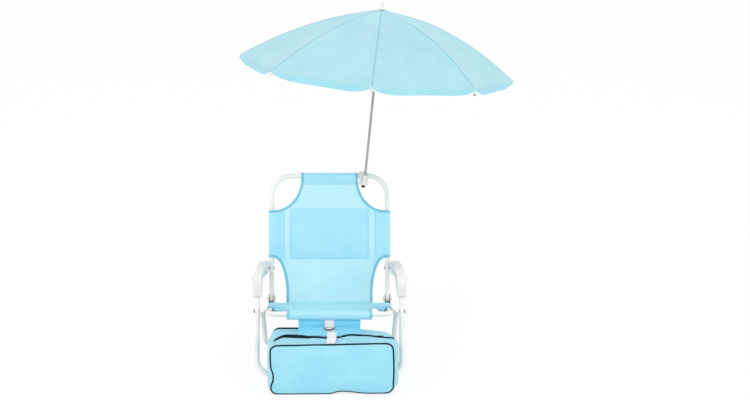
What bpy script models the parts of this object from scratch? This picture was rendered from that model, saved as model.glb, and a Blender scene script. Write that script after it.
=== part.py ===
"""A child's folding beach chair with a clamp-on umbrella and a cooler bag.

In metres, Z up, front towards -Y.
"""

from math import acos, asin, atan2, cos, hypot, pi, radians, sin, tan

import bmesh
import bpy
from mathutils import Matrix, Vector

ORIGIN = Vector((0, 0, 0))
SMOOTH_ANGLE = radians(35)
WELD_DISTANCE = 0.00001

# Steel tube of all four frames
TUBE_DIAMETER = 0.013
TUBE_WALL = 0.001
TUBE_SIDES = 12
BEND_STEPS = 5
FIT_GAP = 0.0003
SLIDING_GAP = 0.0004
DRILL_CLEARANCE = 0.0003
CUT_OVERRUN = 0.004

# Chair stance, side view
BACK_HALF_WIDTH = 0.1515
LEAN = radians(18)
LEG_PIVOT_HEIGHT = 0.1575
REAR_LEG_LENGTH = 0.247
RAIL_SLOPE = radians(10.5)
RAIL_PIVOT_SPAN = 0.1686
BACK_PIVOT_RISE = 0.0165
SEAT_FRONT_REACH = 0.066
ARM_PIVOT_RISE = 0.080
BACK_LENGTH = 0.322
BACK_CORNER_RADIUS = 0.051
FRONT_LEG_CORNER_RADIUS = 0.042
REAR_LEG_CORNER_RADIUS = 0.040
SEAT_CORNER_RADIUS = 0.028
BACK_FOOT_LENGTH = 0.006
REAR_LEG_TOP_LENGTH = 0.008
FRONT_LEG_TOP_LENGTH = 0.006

# Rivets, bolts, spacers and plugs
RIVET_RADIUS = 0.0022
RIVET_HEAD_RADIUS = 0.0045
RIVET_HEAD_HEIGHT = 0.0014
RIVET_STEPS = 12
DOME_SHOULDER_SHARE = 0.87
BOLT_HEAD_RADIUS = 0.0052
BOLT_HEAD_HEIGHT = 0.0026
SPACER_LENGTH = 0.0030
SPACER_RADIUS = 0.0070
PLUG_FLANGE_HEIGHT = 0.0022
PLUG_DEPTH = 0.0080

# Moulded hinge bracket at the back of each seat rail
BRACKET_CHEEK = 0.0022
BRACKET_FLOOR = 0.0022
BRACKET_EAR_RADIUS = 0.0105
BRACKET_EAR_STEPS = 8
BRACKET_REACH = 0.0190

# Moulded armrest, an inverted channel with a front hood
ARM_CHEEK = 0.0045
ARM_REAR_WIDTH = 0.021
ARM_FRONT_WALL = 0.0032
ARM_HOOD_DROP = 0.043
ARM_HOOD_BACK = 0.0085
ARM_TOP_RISE = 0.027
ARM_REAR_RISE = 0.018
ARM_ROOF = 0.0038
ARM_SKIRT = 0.009
ARM_REAR_OVERHANG = 0.011
ARM_CREST_RADIUS = 0.026
ARM_TAIL_ROUNDING_SHARE = 0.42
ARM_SLICE_COUNT = 5
ARM_SHEAR_START_SHARE = 0.40
ARM_SHEAR_END_SHARE = 0.86

# Cloth
CLOTH_THICKNESS = 0.0016
SLEEVE_WALL = 0.0013
SLEEVE_HEM = 0.0010
BACK_SLEEVE_TOP = 0.230
BACK_SLEEVE_FOOT = 0.108
BACK_WAIST_HALF_WIDTH = 0.112
BACK_TAIL_LENGTH = 0.010
SEAT_SLEEVE_REAR = 0.022
SEAT_SLEEVE_FRONT = 0.112
SEAT_NOSE_HALF_WIDTH = 0.105
SEAT_REAR_INSET = 0.003
CUTOUT_STEPS = 6
HIP_BULGE_SHARE = 0.90
NECK_BULGE_SHARE = 0.95
POCKET_HALF_WIDTH = 0.103
POCKET_FOOT = 0.104
POCKET_HEIGHT = 0.131
POCKET_THICKNESS = 0.0012

# Cooler bag
BAG_WIDTH = 0.308
BAG_DEPTH = 0.118
BAG_REAR_HEIGHT = 0.131
BAG_FRONT_HEIGHT = 0.122
BAG_WALL = 0.0035
BAG_CORNER_RADIUS = 0.018
BAG_CORNER_STEPS = 4
BAG_FRAME_GAP = 0.0035
BAG_MOUTH_SHARE = 0.50
BAG_MOUTH_MARGIN = 0.006
LID_THICKNESS = 0.0030
HANGER_HALF_WIDTH = 0.079
HANGER_THICKNESS = 0.0016
STRAP_WIDTH = 0.023
STRAP_THICKNESS = 0.0016
BUCKLE_WIDTH = 0.029
BUCKLE_LENGTH = 0.014
BUCKLE_HEIGHT = 0.0046
BUCKLE_WALL = 0.0012
TONGUE_GAP = 0.0004
SLIDER_LENGTH = 0.010
SLIDER_WIDTH = 0.006
SLIDER_HEIGHT = 0.0026
SLIDER_END_MARGIN = 0.012

# Umbrella clamp on the top bar
CLAMP_WIDTH = 0.022
CLAMP_BEND_GAP = 0.0005
CLAMP_CLOTH_GAP = 0.0045
CLAMP_FRONT = 0.0120
CLAMP_BACK = 0.0085
CLAMP_TOP = 0.0105
CLAMP_FOOT = 0.0225
CLAMP_FOOT_THICKNESS = 0.0055
JAW_THICKNESS = 0.0030
SCREW_RADIUS = 0.0022
KNOB_RADIUS = 0.0052
KNOB_HEIGHT = 0.0060
KNOB_GAP = 0.0016
KNOB_LOBES = 12
SWIVEL_OFFSET_X = 0.0035
SWIVEL_DROP = 0.0055
SWIVEL_DISC_RADIUS = 0.0080
SWIVEL_DISC_THICKNESS = 0.0030
SWIVEL_STUB_RADIUS = 0.0032
SWIVEL_STUB_LENGTH = 0.0042
SOCKET_RADIUS = 0.0056
SOCKET_RISE = 0.0120
SOCKET_DROP = 0.0140
SOCKET_FLOOR = 0.0020

# Umbrella
POLE_RADIUS = 0.00325
POLE_SIDES = 12
POLE_LEAN = radians(5.4)
APEX_HEIGHT = 0.446
CANOPY_RADIUS = 0.355
CANOPY_DEPTH = 0.153
CANOPY_TOP_SLOPE = radians(13)
CANOPY_THICKNESS = 0.0006
CANOPY_HOLE_RADIUS = 0.0040
CANOPY_RINGS = 8
VALANCE_HEIGHT = 0.019
VALANCE_TIP_SHARE = 0.08
VALANCE_FLARE_SHARE = 0.25
RIB_COUNT = 8
GORE_STEPS = 4
RIB_TURN = radians(-3.3)
RIB_RADIUS = 0.0015
RIB_SIDES = 6
RIB_STEPS = 8
RIB_TIP_RADIUS = 0.0026
RIB_TIP_LENGTH = 0.007
RIB_TIP_OVERHANG = 0.003
RIB_TIP_SHOULDER = 0.0005
RIB_CANOPY_GAP = 0.0005
RIB_PIVOT_RADIUS = 0.0092
RIB_PIVOT_DROP = 0.0075
STRETCHER_LENGTH = 0.175
STRETCHER_RADIUS = 0.0012
CROWN_RADIUS = 0.0072
CROWN_HEIGHT = 0.0130
RUNNER_RADIUS = 0.0070
RUNNER_HEIGHT = 0.0300
RUNNER_FLANGE_DROP = 0.0060
FINIAL_RADIUS = 0.0042
FINIAL_HEIGHT = 0.0220
FINIAL_POINT_RADIUS = 0.0016
FINIAL_SKIRT_RADIUS = 0.0100
FINIAL_SKIRT_HEIGHT = 0.0020

TUBE_RADIUS = TUBE_DIAMETER / 2
FACET_RADIUS = TUBE_RADIUS * cos(pi / TUBE_SIDES)
HOLE_RADIUS = RIVET_RADIUS + DRILL_CLEARANCE
X_AXIS = Vector((1, 0, 0))
Y_AXIS = Vector((0, 1, 0))
Z_AXIS = Vector((0, 0, 1))
SIDES = (("left", -1), ("right", 1))

# The clamp sits at the right end of the top bar's straight length, and the cloth stops beside it
CLAMP_X = BACK_HALF_WIDTH - BACK_CORNER_RADIUS - CLAMP_WIDTH / 2 - CLAMP_BEND_GAP
BACK_NECK_HALF_WIDTH = CLAMP_X - CLAMP_WIDTH / 2 - CLAMP_CLOTH_GAP

# Room that the cut ends of the tubes sweep as they turn about their rivets
BACK_FOOT_SWING = hypot(BACK_FOOT_LENGTH, TUBE_RADIUS)
FRONT_LEG_TOP_SWING = hypot(FRONT_LEG_TOP_LENGTH, TUBE_RADIUS)
RAIL_TAIL_LENGTH = BACK_FOOT_SWING + FIT_GAP

# Frame planes from the inside out: seat and back, rear legs, front legs
REAR_LEG_HALF_WIDTH = BACK_HALF_WIDTH + TUBE_DIAMETER + SPACER_LENGTH + 2 * FIT_GAP
FRONT_LEG_HALF_WIDTH = REAR_LEG_HALF_WIDTH + TUBE_DIAMETER + SLIDING_GAP


def side_point(y, z):
    return Vector((0, y, z))


def side_direction(angle):
    """Unit vector in the side plane, the angle taken from straight up towards the rear."""
    return Vector((0, sin(angle), cos(angle)))


# Pivots in the side plane
BACK_DIRECTION = side_direction(LEAN)
BACK_FORWARD = side_direction(LEAN - pi / 2)
FLOOR_BAR = side_point(0, FACET_RADIUS)
LEG_PIVOT = side_point((LEG_PIVOT_HEIGHT - FACET_RADIUS) * tan(LEAN), LEG_PIVOT_HEIGHT)
REAR_LEG_ANGLE = acos((LEG_PIVOT_HEIGHT - FACET_RADIUS) / REAR_LEG_LENGTH)
REAR_LEG_UP = side_direction(-REAR_LEG_ANGLE)
REAR_FLOOR_BAR = LEG_PIVOT - REAR_LEG_LENGTH * REAR_LEG_UP
RAIL_FORWARD = side_direction(RAIL_SLOPE - pi / 2)
RAIL_UP = side_direction(RAIL_SLOPE)
RAIL_REAR = LEG_PIVOT - RAIL_PIVOT_SPAN * RAIL_FORWARD
SEAT_FRONT_BAR = LEG_PIVOT + SEAT_FRONT_REACH * RAIL_FORWARD
BACK_PIVOT = RAIL_REAR + BACK_PIVOT_RISE * RAIL_UP
ARM_BACK_PIVOT = BACK_PIVOT + ARM_PIVOT_RISE * BACK_DIRECTION
ARM_LEG_PIVOT = LEG_PIVOT + ARM_PIVOT_RISE * BACK_DIRECTION
TOP_BAR = BACK_PIVOT + BACK_LENGTH * BACK_DIRECTION

# Drawing plane of side outlines, given as (y, z) and extruded along X
SIDE_MATRIX = Matrix(((0, 0, 1, 0), (1, 0, 0, 0), (0, 1, 0, 0), (0, 0, 0, 1)))


def clear_scene():
    for old in list(bpy.data.objects):
        bpy.data.objects.remove(old, do_unlink=True)


def make_material(name, colour, roughness, metallic=0.0):
    material = bpy.data.materials.new(name)
    material.use_nodes = True
    shader = material.node_tree.nodes["Principled BSDF"]
    shader.inputs["Base Color"].default_value = (*colour, 1)
    shader.inputs["Roughness"].default_value = roughness
    shader.inputs["Metallic"].default_value = metallic
    return material


clear_scene()
WHITE_COAT = make_material("white_powder_coat", (0.83, 0.84, 0.85), 0.35)
WHITE_PLASTIC = make_material("white_plastic", (0.86, 0.86, 0.86), 0.45)
STEEL = make_material("zinc_plated_steel", (0.48, 0.48, 0.47), 0.35, 1.0)
DARK_PLASTIC = make_material("dark_plastic", (0.02, 0.03, 0.04), 0.5)
SLING_CLOTH = make_material("sling_cloth", (0.38, 0.79, 0.93), 0.8)
POCKET_CLOTH = make_material("pocket_cloth", (0.33, 0.74, 0.90), 0.8)
BAG_CLOTH = make_material("bag_cloth", (0.35, 0.72, 0.89), 0.7)
HANGER_CLOTH = make_material("hanger_cloth", (0.16, 0.62, 0.91), 0.8)
WEBBING = make_material("white_webbing", (0.84, 0.82, 0.88), 0.8)
CANOPY_CLOTH = make_material("canopy_cloth", (0.42, 0.77, 0.87), 0.75)


def world_place(obj):
    """Where an object stands, through the unrotated groups that carry it."""
    return obj.location + world_place(obj.parent) if obj else ORIGIN


def make_group(name, place, parent=None):
    """An empty on a moving body's joint axis that carries the body's pieces."""
    empty = bpy.data.objects.new(name, None)
    bpy.context.collection.objects.link(empty)
    empty.parent = parent
    empty.location = place - world_place(parent)
    return empty


SEAT_BODY = make_group("seat_body", LEG_PIVOT)
BACK_BODY = make_group("back_body", BACK_PIVOT, SEAT_BODY)
FRONT_LEG_BODY = make_group("front_leg_body", LEG_PIVOT, SEAT_BODY)
REAR_LEG_BODY = make_group("rear_leg_body", LEG_PIVOT, SEAT_BODY)


def add_object(name, bm, material, parent=None, origin=None):
    """Turns a bmesh drawn in world places into an object with its own origin."""
    origin = ORIGIN if origin is None else origin
    bmesh.ops.recalc_face_normals(bm, faces=bm.faces)
    bmesh.ops.translate(bm, verts=bm.verts, vec=-origin)
    mesh = bpy.data.meshes.new(name)
    bm.to_mesh(mesh)
    bm.free()
    mesh.materials.append(material)
    mesh.shade_smooth()
    mesh.set_sharp_from_angle(angle=SMOOTH_ANGLE)
    obj = bpy.data.objects.new(name, mesh)
    bpy.context.collection.objects.link(obj)
    obj.parent = parent
    obj.location = origin - world_place(parent)
    return obj


def add_helper(name, bm):
    """A cutter or a shape to join on, left out of the model."""
    helper = add_object(name, bm, STEEL)
    helper.hide_render = True
    helper.display_type = "WIRE"
    return helper


def combine(obj, helper, operation):
    modifier = obj.modifiers.new(helper.name, "BOOLEAN")
    modifier.operation = operation
    modifier.object = helper


def cut(obj, helper):
    combine(obj, helper, "DIFFERENCE")


def join(obj, helper):
    combine(obj, helper, "UNION")


def frame_matrix(origin, x_axis, y_axis, z_axis):
    rotation = Matrix((x_axis, y_axis, z_axis)).transposed().to_4x4()
    return Matrix.Translation(origin) @ rotation


def look_matrix(origin, direction, reference):
    """Z along the direction, X across both the direction and the reference."""
    z_axis = direction.normalized()
    x_axis = reference.cross(z_axis).normalized()
    return frame_matrix(origin, x_axis, z_axis.cross(x_axis), z_axis)


def bridge(bm, first, second):
    count = len(first)
    for i in range(count):
        j = (i + 1) % count
        bm.faces.new((first[i], first[j], second[j], second[i]))


def draw_sweep(bm, stations, radii, normal, sides, phase=0.0):
    """A tube along flat stations, whose plane has the given normal. Returns its first and last ring."""
    rings = []
    last = len(stations) - 1
    for i, place in enumerate(stations):
        before = stations[max(i - 1, 0)]
        after = stations[min(i + 1, last)]
        tangent = (after - place).normalized() + (place - before).normalized()
        matrix = look_matrix(place, tangent, normal)
        spin = Matrix.Rotation(phase, 4, "Z")
        made = bmesh.ops.create_circle(bm, segments=sides, radius=radii[i], matrix=matrix @ spin)
        rings.append(made["verts"])
    for first, second in zip(rings, rings[1:]):
        bridge(bm, first, second)
    return rings[0], rings[-1]


def solid_sweep(stations, radius, normal, sides=TUBE_SIDES, phase=0.0):
    radii = radius if isinstance(radius, list) else [radius] * len(stations)
    bm = bmesh.new()
    for ring in draw_sweep(bm, stations, radii, normal, sides, phase):
        bm.faces.new(ring)
    return bm


def hollow_sweep(stations, radius, wall, normal, sides=TUBE_SIDES, phase=0.0):
    bm = bmesh.new()
    count = len(stations)
    outer = draw_sweep(bm, stations, [radius] * count, normal, sides, phase)
    inner = draw_sweep(bm, stations, [radius - wall] * count, normal, sides, phase)
    for outer_ring, inner_ring in zip(outer, inner):
        bridge(bm, outer_ring, inner_ring)
    return bm


def rounded_path(corners, radius, steps=BEND_STEPS):
    """Corner points with each inner corner rounded to the radius."""
    path = [corners[0]]
    for before, corner, after in zip(corners, corners[1:], corners[2:]):
        arriving = (corner - before).normalized()
        leaving = (after - corner).normalized()
        turn = arriving.angle(leaving)
        start = corner - arriving * radius * tan(turn / 2)
        side = (leaving - arriving * arriving.dot(leaving)).normalized()
        for i in range(steps + 1):
            angle = turn * i / steps
            path.append(start + radius * (arriving * sin(angle) + side * (1 - cos(angle))))
    path.append(corners[-1])
    return path


def prism(outline, matrix, low, high):
    """A flat outline in the matrix's XY plane, extruded along its Z from low to high."""
    bm = bmesh.new()
    verts = [bm.verts.new((x, y, low)) for x, y in outline]
    face = bm.faces.new(verts)
    made = bmesh.ops.extrude_face_region(bm, geom=[face])
    top = [item for item in made["geom"] if isinstance(item, bmesh.types.BMVert)]
    bmesh.ops.translate(bm, verts=top, vec=(0, 0, high - low))
    bmesh.ops.transform(bm, matrix=matrix, verts=bm.verts)
    return bm


def box(low, high, matrix=None):
    outline = [(low[0], low[1]), (high[0], low[1]), (high[0], high[1]), (low[0], high[1])]
    return prism(outline, matrix or Matrix.Identity(4), low[2], high[2])


def turned(profile, matrix, steps=RIVET_STEPS):
    """A profile of (radius, height) spun about the matrix's Z. One that starts off the axis is closed."""
    bm = bmesh.new()
    verts = [bm.verts.new((radius, 0, height)) for radius, height in profile]
    edges = [bm.edges.new(pair) for pair in zip(verts, verts[1:])]
    if profile[0][0] > 0:
        edges.append(bm.edges.new((verts[-1], verts[0])))
    bmesh.ops.spin(bm, geom=verts + edges, axis=Z_AXIS, cent=(0, 0, 0), angle=2 * pi, steps=steps)
    bmesh.ops.remove_doubles(bm, verts=bm.verts, dist=WELD_DISTANCE)
    bmesh.ops.transform(bm, matrix=matrix, verts=bm.verts)
    return bm


def cylinder(start, end, radius, steps=RIVET_STEPS):
    direction = end - start
    reference = X_AXIS if abs(direction.x) < abs(direction.y) + abs(direction.z) else Y_AXIS
    profile = [(0, 0), (radius, 0), (radius, direction.length), (0, direction.length)]
    return turned(profile, look_matrix(start, direction, reference), steps)


def across(point, x):
    return Vector((x, point.y, point.z))


def drill(obj, pivot, near, far, radius=HOLE_RADIUS, where="hole"):
    """A round hole along X through the piece."""
    bm = cylinder(across(pivot, near - CUT_OVERRUN), across(pivot, far + CUT_OVERRUN), radius)
    cut(obj, add_helper(f"{obj.name}_{where}", bm))


def floor_phase(angle_to_floor):
    """Ring phase that puts the middle of a facet on the direction of the floor."""
    return angle_to_floor + pi / TUBE_SIDES


# Bent frames
def u_path(half_width, open_end, closed_end, radius):
    """An open U: down one side, along the bar at the closed end and up the other side."""
    corners = [
        across(open_end, -half_width),
        across(closed_end, -half_width),
        across(closed_end, half_width),
        across(open_end, half_width),
    ]
    return rounded_path(corners, radius)


def u_frame(name, half_width, open_end, closed_end, radius, phase, parent):
    path = u_path(half_width, open_end, closed_end, radius)
    normal = X_AXIS.cross(closed_end - open_end).normalized()
    bm = hollow_sweep(path, TUBE_RADIUS, TUBE_WALL, normal, phase=phase)
    return add_object(name, bm, WHITE_COAT, parent, world_place(parent))


def drill_both_sides(obj, pivot, half_width, where="hole"):
    for side, sign in SIDES:
        ends = sorted((sign * (half_width - TUBE_RADIUS), sign * (half_width + TUBE_RADIUS)))
        drill(obj, pivot, *ends, where=f"{where}_{side}")


def build_frames():
    back_open = BACK_PIVOT - BACK_FOOT_LENGTH * BACK_DIRECTION
    back = u_frame("back_frame", BACK_HALF_WIDTH, back_open, TOP_BAR, BACK_CORNER_RADIUS, 0, BACK_BODY)
    drill_both_sides(back, BACK_PIVOT, BACK_HALF_WIDTH, "foot_hole")
    drill_both_sides(back, ARM_BACK_PIVOT, BACK_HALF_WIDTH, "arm_hole")
    rail_open = RAIL_REAR - RAIL_TAIL_LENGTH * RAIL_FORWARD
    seat = u_frame(
        "seat_frame", BACK_HALF_WIDTH, rail_open, SEAT_FRONT_BAR, SEAT_CORNER_RADIUS, 0, SEAT_BODY
    )
    drill_both_sides(seat, LEG_PIVOT, BACK_HALF_WIDTH)
    front_open = ARM_LEG_PIVOT + FRONT_LEG_TOP_LENGTH * BACK_DIRECTION
    front = u_frame(
        "front_leg_frame",
        FRONT_LEG_HALF_WIDTH,
        front_open,
        FLOOR_BAR,
        FRONT_LEG_CORNER_RADIUS,
        floor_phase(LEAN),
        FRONT_LEG_BODY,
    )
    drill_both_sides(front, LEG_PIVOT, FRONT_LEG_HALF_WIDTH)
    drill_both_sides(front, ARM_LEG_PIVOT, FRONT_LEG_HALF_WIDTH, "arm_hole")
    rear_open = LEG_PIVOT + REAR_LEG_TOP_LENGTH * REAR_LEG_UP
    rear = u_frame(
        "rear_leg_frame",
        REAR_LEG_HALF_WIDTH,
        rear_open,
        REAR_FLOOR_BAR,
        REAR_LEG_CORNER_RADIUS,
        floor_phase(-REAR_LEG_ANGLE),
        REAR_LEG_BODY,
    )
    drill_both_sides(rear, LEG_PIVOT, REAR_LEG_HALF_WIDTH)


# Rivets, leg bolts, spacers and tube plugs
def rivet_profile(length, head_radius, head_height):
    """Shaft with a domed head at each end, its length taken between the heads."""
    shoulder = head_radius * DOME_SHOULDER_SHARE
    return [
        (0, -head_height),
        (shoulder, -head_height * DOME_SHOULDER_SHARE),
        (head_radius, 0),
        (RIVET_RADIUS, 0),
        (RIVET_RADIUS, length),
        (head_radius, length),
        (shoulder, length + head_height * DOME_SHOULDER_SHARE),
        (0, length + head_height),
    ]


def add_rivet(name, pivot, sign, inner, outer, parent, head_radius, head_height):
    low, high = sorted((sign * (inner - FIT_GAP), sign * (outer + FIT_GAP)))
    matrix = look_matrix(across(pivot, low), X_AXIS, Y_AXIS)
    bm = turned(rivet_profile(high - low, head_radius, head_height), matrix)
    return add_object(name, bm, STEEL, parent, across(pivot, low))


def build_fasteners():
    bracket_half = TUBE_RADIUS + FIT_GAP + BRACKET_CHEEK
    arm_half = TUBE_RADIUS + FIT_GAP + ARM_CHEEK
    head = (RIVET_HEAD_RADIUS, RIVET_HEAD_HEIGHT)
    bolt_head = (BOLT_HEAD_RADIUS, BOLT_HEAD_HEIGHT)
    for side, sign in SIDES:
        ends = (BACK_HALF_WIDTH - bracket_half, BACK_HALF_WIDTH + bracket_half)
        add_rivet(f"back_hinge_rivet_{side}", BACK_PIVOT, sign, *ends, SEAT_BODY, *head)
        ends = (BACK_HALF_WIDTH - TUBE_RADIUS, FRONT_LEG_HALF_WIDTH + TUBE_RADIUS)
        add_rivet(f"leg_bolt_{side}", LEG_PIVOT, sign, *ends, SEAT_BODY, *bolt_head)
        ends = (BACK_HALF_WIDTH - TUBE_RADIUS, arm_rear_inner_face() + ARM_CHEEK)
        add_rivet(f"arm_back_rivet_{side}", ARM_BACK_PIVOT, sign, *ends, BACK_BODY, *head)
        ends = (FRONT_LEG_HALF_WIDTH - arm_half, FRONT_LEG_HALF_WIDTH + arm_half)
        add_rivet(f"arm_leg_rivet_{side}", ARM_LEG_PIVOT, sign, *ends, FRONT_LEG_BODY, *head)
        build_spacer(side, sign)
        build_plug(side, sign)


def build_spacer(side, sign):
    start = sign * (BACK_HALF_WIDTH + TUBE_RADIUS + FIT_GAP)
    profile = [
        (HOLE_RADIUS, 0),
        (SPACER_RADIUS, 0),
        (SPACER_RADIUS, SPACER_LENGTH),
        (HOLE_RADIUS, SPACER_LENGTH),
    ]
    matrix = look_matrix(across(LEG_PIVOT, start), sign * X_AXIS, Y_AXIS)
    add_object(f"leg_spacer_{side}", turned(profile, matrix), WHITE_PLASTIC, SEAT_BODY, LEG_PIVOT)


def build_plug(side, sign):
    """Moulded plug in the open top of a rear leg."""
    top = across(LEG_PIVOT + REAR_LEG_TOP_LENGTH * REAR_LEG_UP, sign * REAR_LEG_HALF_WIDTH)
    stem = TUBE_RADIUS - TUBE_WALL - FIT_GAP
    depth = REAR_LEG_TOP_LENGTH - HOLE_RADIUS - FIT_GAP
    profile = [
        (0, -min(PLUG_DEPTH, depth)),
        (stem * cos(pi / TUBE_SIDES), -min(PLUG_DEPTH, depth)),
        (stem * cos(pi / TUBE_SIDES), FIT_GAP),
        (TUBE_RADIUS * cos(pi / TUBE_SIDES), FIT_GAP),
        (TUBE_RADIUS * DOME_SHOULDER_SHARE, PLUG_FLANGE_HEIGHT),
        (0, PLUG_FLANGE_HEIGHT),
    ]
    bm = turned(profile, look_matrix(top, REAR_LEG_UP, X_AXIS))
    add_object(f"rear_leg_plug_{side}", bm, WHITE_PLASTIC, REAR_LEG_BODY, top)


# Hinge bracket: a moulded channel round the end of the rail, with two ears up to the back's pivot
def build_bracket(side, sign):
    name = f"hinge_bracket_{side}"
    bore = TUBE_RADIUS + FIT_GAP
    half = bore + BRACKET_CHEEK
    foot = -(bore + BRACKET_FLOOR)
    place = across(RAIL_REAR, sign * BACK_HALF_WIDTH)
    matrix = frame_matrix(place, RAIL_FORWARD, RAIL_UP, -X_AXIS)
    ear = []
    for i in range(BRACKET_EAR_STEPS + 1):
        angle = pi * i / BRACKET_EAR_STEPS
        ear.append((BRACKET_EAR_RADIUS * cos(angle), BACK_PIVOT_RISE + BRACKET_EAR_RADIUS * sin(angle)))
    bore_rear = -(RAIL_TAIL_LENGTH + FIT_GAP)
    rear = bore_rear - BRACKET_CHEEK
    outline = [(BRACKET_REACH, 0), *ear, (rear, 0), (rear, foot), (BRACKET_REACH, foot)]
    pivot = across(BACK_PIVOT, sign * BACK_HALF_WIDTH)
    bracket = add_object(name, prism(outline, matrix, -half, half), WHITE_PLASTIC, SEAT_BODY, pivot)
    rail_bore = [place + bore_rear * RAIL_FORWARD, place + (BRACKET_REACH + CUT_OVERRUN) * RAIL_FORWARD]
    cut(bracket, add_helper(f"{name}_bore", solid_sweep(rail_bore, bore, X_AXIS)))
    slot_low = (bore_rear, 0, -bore)
    slot_high = (BRACKET_REACH + CUT_OVERRUN, BACK_PIVOT_RISE + BRACKET_EAR_RADIUS + CUT_OVERRUN, bore)
    cut(bracket, add_helper(f"{name}_slot", box(slot_low, slot_high, matrix)))
    drill(bracket, BACK_PIVOT, pivot.x - half, pivot.x + half)


# Armrests
def arm_rear_inner_face():
    """The arm clears the cloth sleeve of the back, which swings past it."""
    return BACK_HALF_WIDTH + TUBE_RADIUS + SLEEVE_WALL + 2 * FIT_GAP + SLIDING_GAP


def arm_axes():
    along = (ARM_BACK_PIVOT - ARM_LEG_PIVOT).normalized()
    return along, X_AXIS.cross(along).normalized()


def arm_outline(top_inset, hood_inset, overrun):
    """Side outline of the arm in (y, z) from its front pivot, clockwise from the hood's foot."""
    along, upward = arm_axes()
    span = (ARM_BACK_PIVOT - ARM_LEG_PIVOT).length
    front = FRONT_LEG_TOP_SWING + SLIDING_GAP + ARM_FRONT_WALL - hood_inset
    crest = ARM_TOP_RISE - top_inset
    rear_crest = ARM_REAR_RISE - top_inset
    rear_reach = span + ARM_REAR_OVERHANG - top_inset
    foot = -(ARM_HOOD_DROP + overrun)
    hood_foot = front * BACK_FORWARD + foot * BACK_DIRECTION
    shoulder = front * BACK_FORWARD + (crest + front * tan(LEAN / 2)) * BACK_DIRECTION
    crest_start = crest * upward + front * along
    rear_top = rear_reach * along + rear_crest * upward
    rear_foot = rear_reach * along - (ARM_SKIRT + overrun) * upward
    back = -(ARM_HOOD_BACK + overrun)
    inner = back * BACK_FORWARD - (ARM_SKIRT + overrun) * BACK_DIRECTION
    hood_back = back * BACK_FORWARD + foot * BACK_DIRECTION
    radius = ARM_CREST_RADIUS - top_inset
    crown = rounded_path([hood_foot, shoulder, crest_start + radius * along, rear_top], radius * cos(LEAN))
    tail_radius = (rear_crest + ARM_SKIRT) * ARM_TAIL_ROUNDING_SHARE
    tail = rounded_path([crown[-2], rear_top, rear_foot, inner], tail_radius)
    points = crown[:-1] + tail[1:] + [hood_back]
    return [(p.y, p.z) for p in points]


def arm_shift(y, rear_shift):
    """How far the arm has moved inwards at this distance behind its front pivot."""
    span = ARM_BACK_PIVOT.y - ARM_LEG_PIVOT.y
    share = (y / span - ARM_SHEAR_START_SHARE) / (ARM_SHEAR_END_SHARE - ARM_SHEAR_START_SHARE)
    share = min(max(share, 0), 1)
    return rear_shift * share * share * (3 - 2 * share)


def arm_prism(outline, half_width, sign, slices):
    """The side outline spread across the arm, its middle line moving in towards the back frame."""
    bm = prism(outline, SIDE_MATRIX, -half_width, half_width)
    for y in slices:
        geometry = bm.verts[:] + bm.edges[:] + bm.faces[:]
        bmesh.ops.bisect_plane(bm, geom=geometry, plane_co=(0, y, 0), plane_no=Y_AXIS)
    rear_middle = arm_rear_inner_face() + ARM_REAR_WIDTH / 2
    rear_shift = FRONT_LEG_HALF_WIDTH - rear_middle
    front_half = TUBE_RADIUS + FIT_GAP + ARM_CHEEK
    narrowing = 1 - ARM_REAR_WIDTH / 2 / front_half
    for vert in bm.verts:
        shift = arm_shift(vert.co.y, rear_shift)
        squeeze = 1 - narrowing * shift / rear_shift
        vert.co.x = sign * (FRONT_LEG_HALF_WIDTH - shift) + vert.co.x * squeeze
        vert.co.y += ARM_LEG_PIVOT.y
        vert.co.z += ARM_LEG_PIVOT.z
    return bm


def build_armrest(side, sign):
    span = ARM_BACK_PIVOT.y - ARM_LEG_PIVOT.y
    share_step = (ARM_SHEAR_END_SHARE - ARM_SHEAR_START_SHARE) / ARM_SLICE_COUNT
    slices = [span * (ARM_SHEAR_START_SHARE + i * share_step) for i in range(ARM_SLICE_COUNT + 1)]
    bore = TUBE_RADIUS + FIT_GAP
    half = bore + ARM_CHEEK
    bm = arm_prism(arm_outline(0, 0, 0), half, sign, slices)
    arm = add_object(f"armrest_{side}", bm, WHITE_PLASTIC, BACK_BODY, ARM_BACK_PIVOT)
    inside = arm_outline(ARM_ROOF, ARM_FRONT_WALL, CUT_OVERRUN)
    cut(arm, add_helper(f"armrest_{side}_channel", arm_prism(inside, bore, sign, slices)))
    centre = sign * FRONT_LEG_HALF_WIDTH
    drill(arm, ARM_LEG_PIVOT, centre - half, centre + half)
    inner = sign * arm_rear_inner_face()
    ends = sorted((inner - sign * ARM_CHEEK, inner + sign * ARM_CHEEK))
    drill(arm, ARM_BACK_PIVOT, *ends, where="back_hole")


# Cloth sling
def quarter_curve(start, end, bulge, steps=CUTOUT_STEPS):
    """Points of a curve that leaves the start upright and meets the end flat."""
    points = []
    for i in range(1, steps):
        angle = pi / 2 * i / steps
        rise = sin(angle) ** bulge
        run = 1 - cos(angle) ** bulge
        points.append((start[0] + (end[0] - start[0]) * run, start[1] + (end[1] - start[1]) * rise))
    return points


def mirrored(half_outline):
    """Right half from bottom to top, then its mirror image back down."""
    return half_outline + [(-x, y) for x, y in reversed(half_outline)]


def back_outline():
    neck = (BACK_NECK_HALF_WIDTH, BACK_LENGTH)
    shoulder = (BACK_HALF_WIDTH, BACK_SLEEVE_TOP)
    hip = (BACK_HALF_WIDTH, BACK_SLEEVE_FOOT)
    waist = (BACK_WAIST_HALF_WIDTH, 0)
    lower = quarter_curve(waist, hip, HIP_BULGE_SHARE)
    upper = quarter_curve(neck, shoulder, NECK_BULGE_SHARE)
    tail = (BACK_WAIST_HALF_WIDTH, -BACK_TAIL_LENGTH)
    return mirrored([tail, waist, *lower, hip, shoulder, *reversed(upper), neck])


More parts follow.
